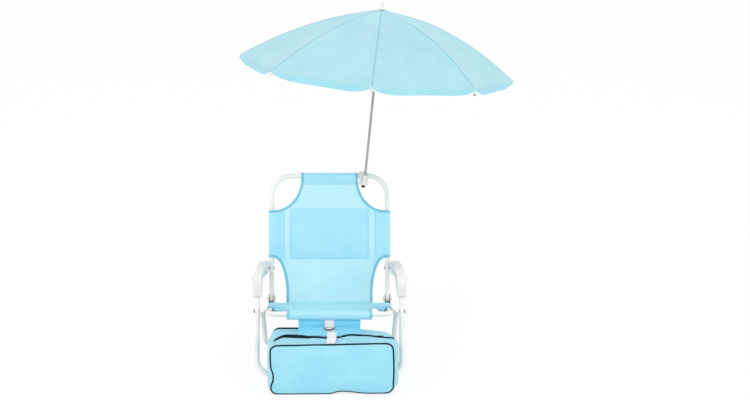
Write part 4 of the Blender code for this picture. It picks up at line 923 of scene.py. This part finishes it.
makeSling()
top, length, lift, reach = sling["backLength"], sling["seatLength"], sling["seatLift"], sling["wrap"] + 0.0005
up, front, railUp, railFront = side["backUp"], side["backFront"], side["railUp"], side["railFront"]
curled = (railUp + sling["tapeCurl"] * railFront).normalized()
for sideName, sign in bothSides:
    sleevePiece(f"backSleeve_{sideName}", sign, "back", backSurface, backAxis, alongsOfBack, front, 0.0)
    sleevePiece(f"seatSleeve_{sideName}", sign, "seat", seatSurface, seatAxis, alongsOfSeat, railUp, lift)
    # the neck, from over the top bar, then the upper cut-out, then round the side tube
    path = []
    for share in shares(8):
        angle = pi * (0.3 + 0.7 * share)
        point = backSurface(sign * sling["neck"], top + reach * sin(angle), -reach * cos(angle))
        path.append((point, up * sin(angle) - front * cos(angle)))
    for x, along in upperCut:
        if along < top - 0.002:
            rise = sleeveRise(x) + sling["wrap"] * (1 - shapeSmooth((top - along) / sling["hem"]))
            path.append((backSurface(sign * x, along, rise), front))
    path += roundTube(sign, backAxis, front, sling["sleeveTop"])[1:]
    foldedTape(f"upperBinding_{sideName}", path, backSurface(0, 0.16), "back")
    # the lower cut-out, down the side of the back and out along the rear edge of the seat
    path = roundTube(sign, backAxis, front, sling["sleeveFoot"])[::-1]
    for x, along in reversed(lowerCut[:-1]):
        if along > sling["bendFrom"]:
            path.append((backSurface(sign * x, along, sleeveRise(x)), leaning(front, sign, x, along)))
    for share in shares(6):
        normal = leaning(front.lerp(railUp, share).normalized(), sign, sling["waist"], 0.0)
        point = slingPoint("crease", share, 0.0, sign * sling["waist"])
        path.append((point + sling["tapeRise"] * normal, normal))
    for x, along in rearCorner[1:]:
        path.append((seatSurface(sign * x, along, sleeveRise(x, lift)), leaning(curled, sign, x, along)))
    path += roundTube(sign, seatAxis, railUp, rearCorner[-1][1])
    tape = foldedTape(f"lowerBinding_{sideName}", path, backSurface(0, 0.16), None)
    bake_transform(tape)
    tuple(bendStart)
    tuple(bendEnd)
    # the front cut-out of the seat, from under the front bar to the side tube
    path = []
    for share in shares(8):
        angle = pi * (0.7 - 0.7 * share)
        upward = reach * cos(angle) - lift - sling["noseDrop"] * shapeSmooth(angle / pi)
        point = seatSurface(sign * sling["nose"], length + reach * sin(angle), upward)
        path.append((point, railUp * cos(angle) + railFront * sin(angle)))
    for along in (0.230, 0.222, 0.213, 0.204, 0.195, 0.186, 0.179):
        rise = (sling["wrap"] - lift) * (1 - shapeSmooth((length - along) / sling["hem"]))
        path.append((seatSurface(sign * sling["nose"], along, sling["tapeRise"] + rise), railUp))
    for x, along in seatCut:
        path.append((seatSurface(sign * x, along + sleeveTongue(x), sleeveRise(x, lift)), railUp))
    path += roundTube(sign, seatAxis, railUp, sling["seatSleeveFront"] + sling["tongue"])[1:]
    foldedTape(f"seatBinding_{sideName}", path, seatSurface(0, 0.08), "seat")
    stitch = [backSurface(sign * (sling["stitch"] + 0.002), 0.118 + i * 0.0115, 0.0022) for i in range(11)]
    stitchLine(f"backStitch_{sideName}", stitch, front, "back")
stitch = [backSurface(-0.069 + i * 0.0069, top - sling["hem"] + 0.002, 0.0016) for i in range(21)]
stitchLine("topStitch", stitch, front, "back")
stitch = [seatSurface(-0.1 + i * 0.0080, length - sling["hem"] + 0.002, 0.0016) for i in range(26)]
stitchLine("frontStitch", stitch, railUp, "seat")

# Sewn rectangle on the back, stitched along its sides and foot
pocket = {"half": 0.103, "foot": 0.104, "height": 0.131, "lift": 0.0017, "thickness": 0.0010, "inset": 0.0035}
pocketRows = 26


def pocketPlace(u, row):
    v = row / pocketRows
    x, along = u * pocket["half"], pocket["foot"] + v * pocket["height"]
    edge = min(1 - abs(u), min(v, 1 - v) * 1.3) * pocket["half"]
    return backSurface(x, along, pocket["lift"] + 0.0012 * shapeSmooth(edge / 0.02)), (x, along)


panel = clothGrid(40, pocketRows, pocketPlace)
piece = thickSheet("backPocketPanel", panel, ["slingDouble"], "back", pocket["thickness"], ("back_pocket",))
half, foot = pocket["half"] - pocket["inset"], pocket["foot"] + pocket["inset"]
head = pocket["foot"] + pocket["height"]
corners = [(-half, head), (-half, foot), (half, foot), (half, head)]
outline = []
for (x0, a0), (x1, a1) in zip(corners, corners[1:]):
    outline += [backSurface(x0 + (x1 - x0) * share, a0 + (a1 - a0) * share, 0.0026) for share in shares(16)]
stitchLine("pocketStitch", outline, front, "back")
print("sling sewn")

# Umbrella: eight cloth wedges, each centred on its rib so that it folds with it
umbrella = {
    "foot": Vector((0.0925, 0.296522, 0.443739)),
    "up": Vector((0.094108, 0, 0.995562)),
    "side": Vector((0.995562, 0, -0.094108)),
    "apex": 0.446,
    "hole": 0.004,
    "radius": 0.355,
    "depth": 0.153,
    "topSlope": radians(13),
    "turn": radians(-3.3),
    "ribs": 8,
    "valance": 0.0178,
    "valanceRows": 7,
    "puff": 0.0028,
    "rightLift": 0.0110,
    "hollow": 0.010,
    "tipShare": 0.10,
    "flare": 0.22,
    "tape": 0.0024,
    "columns": 20,
    "rings": 26,
    "thickness": 0.0007,
    "flat": (0.272, 0.42),
    "folded": 0.30,
    "seamHalf": 0.0013,
    "tip": [(0, -0.011), (0.0026, -0.011), (0.0028, -0.0104), (0.0028, -0.002), (0.0022, 0.0002)]
    + [(0.0020, 0.0016), (0.0031, 0.0030), (0.0034, 0.0044), (0.0029, 0.0058), (0.0016, 0.0067), (0, 0.0069)],
    "pole": [(0, -0.0117), (0.0032, -0.0117), (0.0032, 0.448), (0, 0.448)],
    "cap": [(0, 0.0025), (0.0037, 0.0025), (0.0037, 0.0), (0.0098, 0.0), (0.0102, 0.0006), (0.0090, 0.0020)]
    + [(0.0062, 0.0030), (0.0049, 0.0044), (0.0045, 0.0066), (0.0045, 0.0138), (0.0049, 0.0146)]
    + [(0.0047, 0.0158), (0.0036, 0.0180), (0.0026, 0.0202), (0.0017, 0.0214), (0, 0.0218)],
    "capLift": 0.0014,
}
chord = hypot(umbrella["radius"] - umbrella["hole"], umbrella["depth"])
halfTurn = atan2(umbrella["depth"], umbrella["radius"] - umbrella["hole"]) - umbrella["topSlope"]
arcRadius = chord / 2 / sin(halfTurn)


def canopyProfile(share, inward=0.0):
    # radius and height on the rib's arc, from the crown, 0, to the rim, 1
    slope = umbrella["topSlope"] + 2 * halfTurn * share
    radius = umbrella["hole"] + arcRadius * (sin(slope) - sin(umbrella["topSlope"]))
    height = umbrella["apex"] - arcRadius * (cos(umbrella["topSlope"]) - cos(slope))
    return radius - inward * sin(slope), height - inward * cos(slope)


def sidewaysOf(angle):
    return yAxis * cos(angle) - umbrella["side"] * sin(angle)


def umbrellaPoint(radial, tangential, height, angle):
    # the cloth stands a little off its ribs, most on the right where it is blown up
    reach = min(hypot(radial, tangential) / umbrella["radius"], 1.0)
    rightward = (radial * cos(angle) - tangential * sin(angle)) / umbrella["radius"]
    rimward = 1 - 0.55 * shapeSmooth((reach - 0.62) / 0.38)
    height += umbrella["puff"] * sin(pi * reach)
    height += umbrella["rightLift"] * shapeSmooth(rightward / 0.42) * rimward
    outward = umbrella["side"] * cos(angle) + yAxis * sin(angle)
    return umbrella["foot"] + radial * outward + tangential * sidewaysOf(angle) + height * umbrella["up"]


def ribPoint(share, inward, angle):
    radius, height = canopyProfile(share, inward)
    return umbrellaPoint(radius, 0.0, height, angle)


def valanceFall(share):
    # full between the ribs, short at each rib; share runs from a rib, 0, to the middle of the gore, 1
    tip = umbrella["tipShare"]
    return umbrella["valance"] * (tip + (1 - tip) * (1 - (1 - share) ** 5))


def canopyWedge(index):
    angle = umbrella["turn"] + 2 * pi * index / umbrella["ribs"]
    rings, hemRows, tape = umbrella["rings"], umbrella["valanceRows"], umbrella["tape"]
    halfStep = pi / umbrella["ribs"]

    def place(u, fromHem):
        t = 0.55 * u + 0.45 * u**3  # closer columns beside the rib
        row = rings + hemRows - fromHem
        share = min(row / rings, 1.0)
        radius, height = canopyProfile(share)
        radial = radius - radius * sin(halfStep) ** 2 * abs(t)
        sideways = radius * sin(halfStep) * cos(halfStep) * t
        # the cloth is pulled a little hollow between the ribs
        pull = sin(pi * share) ** 0.8 * (1 - (1 - abs(t)) ** 2) * radius / umbrella["radius"]
        ripple = clothRipple(Vector((share * 0.9, abs(t) * radius, 0.37 * index)), 0.05, 0.0012)
        height -= umbrella["hollow"] * pull + ripple * abs(t) * share * (1 - abs(t))
        if row > rings:
            # the valance, with its white tape between the last rows
            down = (row - rings) / hemRows
            fall = valanceFall(abs(t))
            drop = {0: fall, 1: fall - tape, 2: fall - tape - 0.0004}.get(fromHem, fall * down)
            drop = max(drop, 0.0)
            outwards = umbrella["flare"] * drop
            outwards += 0.0016 * sin(5 * pi * abs(t)) * down * min(1, 4 * (1 - abs(t)))
            radial += outwards * cos(halfStep * t)
            sideways += outwards * sin(halfStep * t)
            height -= drop
        flat = (sideways, share * 2 * halfTurn * arcRadius + 0.002 * max(row - rings, 0))
        return umbrellaPoint(radial, sideways, height, angle), flat

    def slot(fromHem):
        return 2 if fromHem == 0 else int(fromHem < hemRows)

    bm = clothGrid(umbrella["columns"], rings + hemRows, place, slot)
    middle = umbrellaPoint(0, 0, umbrella["apex"] - 0.3, angle)
    if sum(face.normal.dot(face.calc_center_median() - middle) for face in bm.faces) < 0:
        bmesh.ops.reverse_faces(bm, faces=bm.faces)
    rib, looks = f"rib_{index + 1}", ["canopy", "valance", "edgeTape"]
    piece = thickSheet(f"canopyWedge_{index + 1}", bm, looks, rib, umbrella["thickness"], ("canopy",), 1)
    axis, anchor = tuple(sidewaysOf(angle)), tuple(umbrella["foot"])
    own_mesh(piece)
    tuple(axis)
    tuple(anchor)
    ribTrim(index, angle, rib)


def ribTrim(index, angle, rib):
    # Flat-felled seam over the rib, and the moulded tip that the cloth is sewn to
    seam = [ribPoint(0.02 + i * 0.0307, -0.0012, angle) for i in range(32)]
    sideways = sidewaysOf(angle)

    def place(u, row):
        lowered = umbrella["up"] * (0.0004 + 0.0007 * u * u)
        return seam[row] + sideways * u * umbrella["seamHalf"] - lowered, (u * 0.002, row * 0.012)

    bm = clothGrid(4, len(seam) - 1, place)
    thickSheet(f"canopySeam_{index + 1}", bm, ["seam"], rib, umbrella["thickness"])
    tip = ribPoint(1.0, 0.0046, angle)
    matrix = lookMatrix(tip, tip - ribPoint(0.96, 0.0032, angle), sideways)
    turnedPiece(f"ribTip_{index + 1}", umbrella["tip"], matrix, 16, "plastic", rib)


for index in range(umbrella["ribs"]):
    canopyWedge(index)

poleMatrix = axisMatrix(umbrella["foot"], umbrella["side"], yAxis, umbrella["up"])
turnedPiece("poleTube", umbrella["pole"], poleMatrix, 24, "steel", "umbrella", ("umbrella_pole",))
capMatrix = poleMatrix @ Matrix.Translation((0, 0, umbrella["apex"] + umbrella["capLift"]))
turnedPiece("finialCap", umbrella["cap"], capMatrix, 28, "plastic", "umbrella", ("umbrella_finial",))
print("umbrella dressed")

# Cooler bag: a soft shell of coated cloth over foam, with piping round its front and rear panels
bag = {
    "rear": -0.0100,
    "front": -0.1275,
    "shift": 0.0085,
    "halfPanel": 0.1465,
    "halfMiddle": 0.1600,
    "rearTop": 0.1305,
    "frontTop": 0.1255,
    "foot": 0.0008,
    "topArch": 0.0050,
    "rearSink": 0.0120,
    "frontShift": -0.0033,
    "frontTwist": 0.0030,
    "frontTilt": 0.0016,
    "footBump": 0.0058,
    "leftDent": 0.0068,
    "rightSwell": 0.0022,
    "cornerRadius": 0.016,
    "cornerEase": 0.006,
    "belly": 0.010,
    "flatFoot": 0.004,
    "split": -0.069,
    "wall": 0.0032,
    "dip": 0.0032,
    "frontBulge": 0.0060,
    "piping": 0.0023,
    "pipingAt": 0.975,
    "wrinkle": 0.0020,
    "fineWrinkle": 0.0007,
}


def bagDepth(y):
    # from the front panel, -1, to the rear one, 1
    return 2 * (y - bag["front"]) / (bag["rear"] - bag["front"]) - 1


def bagTopHeight(y):
    share = (y - bag["front"]) / (bag["rear"] - bag["front"])
    return bag["frontTop"] + (bag["rearTop"] - bag["frontTop"]) * share


def bagHalf(b):
    return bag["halfPanel"] + (bag["halfMiddle"] - bag["halfPanel"]) * (1 - b * b) ** 0.7


def bagPoint(a, b, c):
    # a across, b from the front panel to the rear one, c from foot to top, each from -1 to 1
    y = bag["front"] + (bag["rear"] - bag["front"]) * (b + 1) / 2
    bulge = 1 - b * b
    half, top, foot = bagHalf(b), bagTopHeight(y), bag["foot"]
    middle, halfHeight = (top + foot) / 2, (top - foot) / 2
    reach = max(abs(a), abs(c), 1e-6)
    px, pz = a / reach * half, c / reach * halfHeight
    radius = bag["cornerRadius"] + bag["cornerEase"] * bulge
    cx = min(max(px, -(half - radius)), half - radius)
    cz = min(max(pz, -(halfHeight - radius)), halfHeight - radius)
    away = Vector((px - cx, 0, pz - cz))
    if away.length > 1e-9:
        away = away.normalized() * radius
    x = (cx + away.x) * reach
    z = middle + (cz + away.z) * reach
    # the top sinks between its piped edges, and the sides belly out low down
    above, below, onPanel = max(0.0, c), max(0.0, -c), abs(b) > 0.98
    arch = bag["topArch"] * shapeSmooth((x - 0.004) / 0.045) * (1 - shapeSmooth((x - 0.100) / 0.05))
    z -= (bag["dip"] - arch) * bulge * above * (1 - abs(a) ** 4) * reach
    z -= bag["rearSink"] * shapeSmooth((b + 0.4) / 1.4) * max(0.0, (a - 0.25) / 0.75) ** 1.6 * above**2
    x *= 1 + bag["belly"] * max(0.0, 1 - z / top) * bulge
    if onPanel:
        face = (1 - abs(a) ** 3) * (1 - abs(c) ** 3)
        y -= bag["frontBulge"] * face * (1.15 - 0.3 * c) * (1 if b < 0 else -0.2)
    # it hangs a little to one side, and its front panel stands a little crooked
    frontal = shapeSmooth((-b - 0.2) / 0.8)
    z += frontal * (bag["frontTwist"] * a * min(1.0, above) + bag["frontTilt"] * (1 + a) * below)
    bump = shapeSmooth((x + 0.006) / 0.026) * (1 - shapeSmooth((x - 0.026) / 0.065))
    z += bag["footBump"] * frontal * bump * below**3
    dent = bag["leftDent"] * frontal * max(0.0, -a) ** 3 / (1 + ((z - 0.043) / 0.017) ** 4)
    swell = bag["rightSwell"] * frontal * max(0.0, a) ** 3 * sin(pi * min(max(z / 0.12, 0), 1))
    point = Vector((x + bag["shift"] + frontal * bag["frontShift"] + dent + swell, y, z))
    if z <= bag["flatFoot"]:
        return point
    wrinkle = noise.noise(Vector((x * 21, y * 34, z * 27)) + noiseShift) * bag["wrinkle"]
    wrinkle += noise.noise(Vector((x * 60, y * 60, z * 44)) - noiseShift) * bag["fineWrinkle"]
    edge = max(abs(a), abs(c)) if onPanel else abs(b)
    wrinkle *= 1 - shapeSmooth((edge - 0.86) / 0.14)
    if onPanel:
        return point - yAxis * wrinkle * (1 if b < 0 else -1)
    outward = Vector((x - cx * reach, 0, z - middle - cz * reach))
    return point + (outward.normalized() if outward.length > 1e-9 else zAxis) * wrinkle


def makeBag():
    bm, uvLayer = clothMesh()
    bmesh.ops.create_cube(bm, size=2.0)
    splitShare = bagDepth(bag["split"])
    depths = [-0.985, -0.95] + [-0.9 + i * 0.1 for i in range(9)]
    depths += [splitShare] + [0.1 + i * 0.1 for i in range(9)] + [0.95, 0.985]
    widths = [-0.97 + 1.94 * share for share in shares(46)]
    heights = [-0.94 + 1.88 * share for share in shares(24)]
    for axis, places in enumerate((widths, depths, heights)):
        for place in places:
            cutAcross(bm, axis, place)
    marks = bm.faces.layers.int.new("isLid")
    for face in bm.faces:
        middle = face.calc_center_median()
        face[marks] = int(middle.z > 0.999 and middle.y < splitShare and abs(middle.x) < 0.93)
        onPanel = abs(middle.y) > 0.999
        for loop in face.loops:
            a, b, c = loop.vert.co
            loop[uvLayer].uv = (a * 0.15, c * 0.065) if onPanel else (b * 0.06, a * 0.15 + c * 0.065)
    for vert in bm.verts:
        vert.co = bagPoint(*vert.co)
    bmesh.ops.recalc_face_normals(bm, faces=bm.faces)
    lid = bm.copy()
    lidMarks = lid.faces.layers.int["isLid"]
    bmesh.ops.delete(bm, geom=[face for face in bm.faces if face[marks]], context="FACES")
    bmesh.ops.delete(lid, geom=[face for face in lid.faces if not face[lidMarks]], context="FACES")
    lined = {"offset": -1, "material_offset": 1, "material_offset_rim": 0}
    thickSheet("bagShell", bm, ["bag", "lining"], "seat", bag["wall"], ("bag_body",), **lined)
    thickSheet("bagCover", lid, ["bag", "lining"], "bag_lid", bag["wall"], ("bag_lid",), **lined)


def panelOutline(b):
    # the piped edge of the front (-1) or rear (1) panel
    points = []
    for quarter in range(4):
        for share in shares(40)[:-1]:
            run = -1 + 2 * share
            a, c = [(run, -1), (1, run), (-run, 1), (-1, -run)][quarter]
            points.append(bagPoint(a, b * bag["pipingAt"], c))
    return points


makeBag()
roundCord("frontPiping", panelOutline(-1), bag["piping"], "piping", "seat", True)
rearEdge = panelOutline(1)
for point in rearEdge:
    # on the right the skin bulges over the piping, and on the left it stands clear
    point.z += 0.0014 * shapeSmooth((-point.x - 0.05) / 0.03) * shapeSmooth((point.z - 0.09) / 0.02)
    point.z -= 0.0050 * shapeSmooth((point.x - 0.05) / 0.03) * shapeSmooth((point.z - 0.09) / 0.02)
roundCord("rearPiping", rearEdge, bag["piping"], "piping", "seat", True)
print("bag sewn")

# Zip across the middle of the bag's top, with its tape standing up where it is left a little open
zipFacts = {
    "middle": 0.0125,
    "half": 0.1470,
    "coil": 0.0009,
    "coilLift": 0.0014,
    "coilApart": 0.0022,
    "gap": 0.0024,
    "rear": 0.0019,
    "front": 0.0016,
    "tape": 0.0006,
    "stand": 0.0052,
    "openAt": -0.086,
    "curl": 0.024,
    "slider": 0.127,
}


def bagTopPoint(x, y, lift):
    # on the bag's top skin at this x and depth
    b = bagDepth(y)
    a = min(max((x - bag["shift"]) / bagHalf(b), -1), 1)
    return bagPoint(a, b, 1.0) + zAxis * lift


def zipLine(y, lift):
    line = []
    for i, share in enumerate(shares(70)):
        x = zipFacts["middle"] + (-1 + 2 * share) * zipFacts["half"]
        sway = 0.0016 * sin(i * 0.17 + 0.6) + 0.0006 * sin(i * 0.61)
        # its left end curls towards the front
        sway -= zipFacts["curl"] * max(0.0, (-0.108 - x) / 0.026) ** 1.3
        line.append(bagTopPoint(x, y + sway, lift))
    return line


def standing(x):
    # how far the open part of the zip stands up, from 0 to 1
    return 1 / (1 + (abs(x - zipFacts["openAt"]) / 0.034) ** 4)


def ribbon(name, middle, vectors, half, thickness, look, body, columns, replaced=()):
    # a flat strip along the points, reaching half times a point's vector to each side
    travelled = runLengths(middle)

    def place(u, row):
        return middle[row] + vectors[row] * (u * half), (u * half, travelled[row])

    thickSheet(name, clothGrid(columns, len(middle) - 1, place), [look], body, thickness, replaced)


def zipTape(name, y, half, body, standShare):
    line = zipLine(y, 0.0007)
    lifts = [standing(point.x) * standShare for point in line]
    middle = [point + zAxis * zipFacts["stand"] * 0.5 * lift for point, lift in zip(line, lifts)]
    vectors = [yAxis * (1 + 0.5 * lift) + zAxis * (zipFacts["stand"] / half) * 0.5 * lift for lift in lifts]
    ribbon(name, middle, vectors, half, zipFacts["tape"], "zipTape", body, 3)


def zipSlider():
    # the slider's body on the zip, and its pull tab lying along it
    bm = bmesh.new()
    place = bagTopPoint(zipFacts["slider"], bag["split"], 0.0022)
    blocks = (
        ((-0.0052, -0.0030, -0.0010), (0.0052, 0.0030, 0.0014)),
        ((-0.0175, -0.0019, 0.0006), (-0.0030, 0.0019, 0.0017)),
    )
    for low, high in blocks:
        for vert in bmesh.ops.create_cube(bm, size=1.0)["verts"]:
            vert.co = place + Vector([lo + (hi - lo) * (s + 0.5) for lo, hi, s in zip(low, high, vert.co)])
    piece = newPiece("zipSliderAndTab", bm, ["darkPlastic"], "zip_slider", replaced=("zip_slider",))
    addModifier(piece, "BEVEL", width=0.0005, segments=2)
    applyModifiers(piece)


zipTape("zipTapeRear", bag["split"] + zipFacts["gap"], zipFacts["rear"], "seat", 1.0)
zipTape("zipTapeFront", bag["split"] - zipFacts["gap"], zipFacts["front"], "bag_lid", 0.0)
rearCoil = zipLine(bag["split"] + 0.0006, zipFacts["coilLift"])
roundCord("zipCoilRear", rearCoil, zipFacts["coil"], "zipTape", "seat")
frontCoil = zipLine(bag["split"] - 0.0012, zipFacts["coilLift"])
frontCoil = [point - yAxis * zipFacts["coilApart"] * standing(point.x) for point in frontCoil]
roundCord("zipCoilFront", frontCoil, zipFacts["coil"], "zipTape", "bag_lid")
zipSlider()

# Hanging flap: from a loop under the front bar down to the bag, and forward along its top to the zip
flap = {"half": 0.0775, "thickness": 0.0012, "end": -0.0615, "hangRows": 13, "topRows": 14, "lift": 0.0021}
# Webbing strap in two halves, and a dark cord in front of its buckle that paints the shadow there
strap = {
    "half": 0.0115,
    "thickness": 0.0014,
    "lift": 0.0021,
    # radius of the dark cord that paints the buckle's shadow
    "bar": 0.0015,
    "lowerAt": 0.0055,
    "lowerLift": 0.0030,
    "lowerStart": -0.0395,
    "lowerLength": 0.0875,
}


def flapLine():
    # down from under the front bar, over the bag's rear edge and forward; height 0 means on the bag's top
    lowest = side["frontBar"] + sidePoint(0.0030, -0.0120)
    foot = sidePoint(bag["rear"] - 0.0035, bagTopHeight(bag["rear"]) + 0.0035)
    points = [lowest.lerp(foot, share) - yAxis * 0.0022 * sin(pi * share) for share in shares(9)[:-1]]
    for share in shares(4):
        angle = pi / 2 * share
        points.append(foot - sidePoint(0.003 * sin(angle), 0.003 * (1 - cos(angle))))
    last = points[-1].y
    points += [sidePoint(last + (flap["end"] - last) * share, 0) for share in shares(flap["topRows"])[1:]]
    return points


flapPoints = flapLine()


def flapPlace(u, row):
    x, point = u * flap["half"], flapPoints[row]
    if row > flap["hangRows"]:
        share = (row - flap["hangRows"]) / flap["topRows"]
        top = bagTopPoint(x, point.y, flap["lift"])
        top.z += 0.0010 * (1 - share) * (1 + noise.noise(Vector((x * 40, point.y * 60, 0.3))))
        return top, (x, row * 0.005)
    share = row / flap["hangRows"]
    sway = 0.0022 * sin(pi * share) * noise.noise(Vector((x * 32, row * 0.16, 4.0)))
    narrow = 1 - 0.015 * sin(pi * share)
    rise = bagTopPoint(x, bag["rear"] - 0.004, 0).z - bagTopPoint(0, bag["rear"] - 0.004, 0).z
    return Vector((x * narrow, point.y - sway, point.z + rise * shapeSmooth(share))), (x, row * 0.005)


flapGrid = clothGrid(32, len(flapPoints) - 1, flapPlace)
piece = thickSheet("hangingFlap", flapGrid, ["flap"], "seat", flap["thickness"], ("bag_hanger",))
width = 2 * flap["half"]
length = sheetArea(piece) / width


def webbingPiece(name, points, body, node):
    vectors = [xAxis] * len(points)
    ribbon(name, points, vectors, strap["half"], strap["thickness"], "webbing", body, 6, (node,))


hanging = [point for point in flapPoints if point.z > bagTopHeight(bag["rear"]) + 0.0045]
webbingPiece("strapUpperWebbing", [point - yAxis * strap["lift"] for point in hanging], "seat", "strap_upper")
# a dark cord where the upper strap meets the buckle: painted shadow
buckleShadowPoints = []
for share in shares(12):
    u = -1 + 2 * share
    buckleShadowPoints.append(Vector((0.0002 + 0.0135 * u, -0.0370, 0.1354 + 0.0036 * u * u + 0.0010 * u)))
roundCord("buckleShadowCord", buckleShadowPoints, strap["bar"], "darkPlastic", "bag_lid")
lowerPoints = []
for i in range(22):
    y = strap["lowerStart"] - i * strap["lowerLength"] / 22
    lowerPoints.append(bagTopPoint(strap["lowerAt"], y, strap["lowerLift"]))
webbingPiece("strapLowerWebbing", lowerPoints, "bag_lid", "strap_lower")
print("flap and strap sewn")

# Studio: pale floor, soft light, and the photograph's camera
studio = {"floor": "#FDFDFD", "key": 26.0, "fill": 12.0, "sky": 1.02, "seenGrey": 0.2, "seenGlow": 0.79}
view = {"place": (0, -3.8446, 1.3093), "down": radians(12.53), "sensor": 36, "lens": 77.4, "shift": 0.0607}


def floorLook():
    # The camera sees a plain white, and the object is lit by the brighter surface
    material, tree, shader = newMaterial("paleStudioFloor", {"Roughness": 0.8})
    cloud = texture(tree, "ShaderNodeTexNoise", coordinate(tree), Scale=3.0, Detail=2.0)
    colourFrom(tree, shader, cloud, "#FAFAFB", studio["floor"])
    grey = (studio["seenGrey"],) * 3 + (1.0,)
    shade = addNode(tree, "ShaderNodeBsdfDiffuse", {"Color": grey}).outputs["BSDF"]
    glow = addNode(tree, "ShaderNodeEmission", {"Strength": studio["seenGlow"]}).outputs["Emission"]
    seen = addNode(tree, "ShaderNodeAddShader", links={0: shade, 1: glow}).outputs["Shader"]
    path = addNode(tree, "ShaderNodeLightPath").outputs["Is Camera Ray"]
    mixed = addNode(tree, "ShaderNodeMixShader", links={0: path, 1: shader.outputs["BSDF"], 2: seen})
    tree.links.new(mixed.outputs["Shader"], tree.nodes["Material Output"].inputs["Surface"])
    return material


finish["floor"] = floorLook()
floorMesh = bmesh.new()
bmesh.ops.create_grid(floorMesh, x_segments=2, y_segments=2, size=20.0)
bmesh.ops.translate(floorMesh, verts=floorMesh.verts, vec=(0, 0, -0.0004))
floor = newPiece("studioFloor", floorMesh, ["floor"], None)

world = bpy.data.worlds.new("studioSky")
world.use_nodes = True
background = world.node_tree.nodes["Background"]
background.inputs["Color"].default_value = hexColour("#FFFFFF")
background.inputs["Strength"].default_value = studio["sky"]
bpy.context.scene.world = world
bpy.context.scene.view_settings.view_transform = "Standard"


def areaLight(name, place, target, size, power):
    light = bpy.data.lights.new(name, "AREA")
    light.energy = power
    light.size = size
    lamp = bpy.data.objects.new(name, light)
    bpy.context.collection.objects.link(lamp)
    lamp.location = place
    lamp.rotation_euler = (Vector(target) - Vector(place)).to_track_quat("-Z", "Y").to_euler()


areaLight("keyLight", (-1.6, -2.2, 2.8), (0, 0, 0.4), 1.8, studio["key"])
areaLight("fillLight", (2.2, -1.6, 1.8), (0, 0, 0.4), 2.0, studio["fill"])

camera = bpy.data.objects.new("camera", bpy.data.cameras.new("camera"))
bpy.context.collection.objects.link(camera)
camera.location = view["place"]
camera.rotation_euler = (pi / 2 - view["down"], 0, 0)
camera.data.sensor_width = view["sensor"]
camera.data.lens = view["lens"]
camera.data.shift_x = view["shift"]
bpy.context.scene.camera = camera

print("scene done")
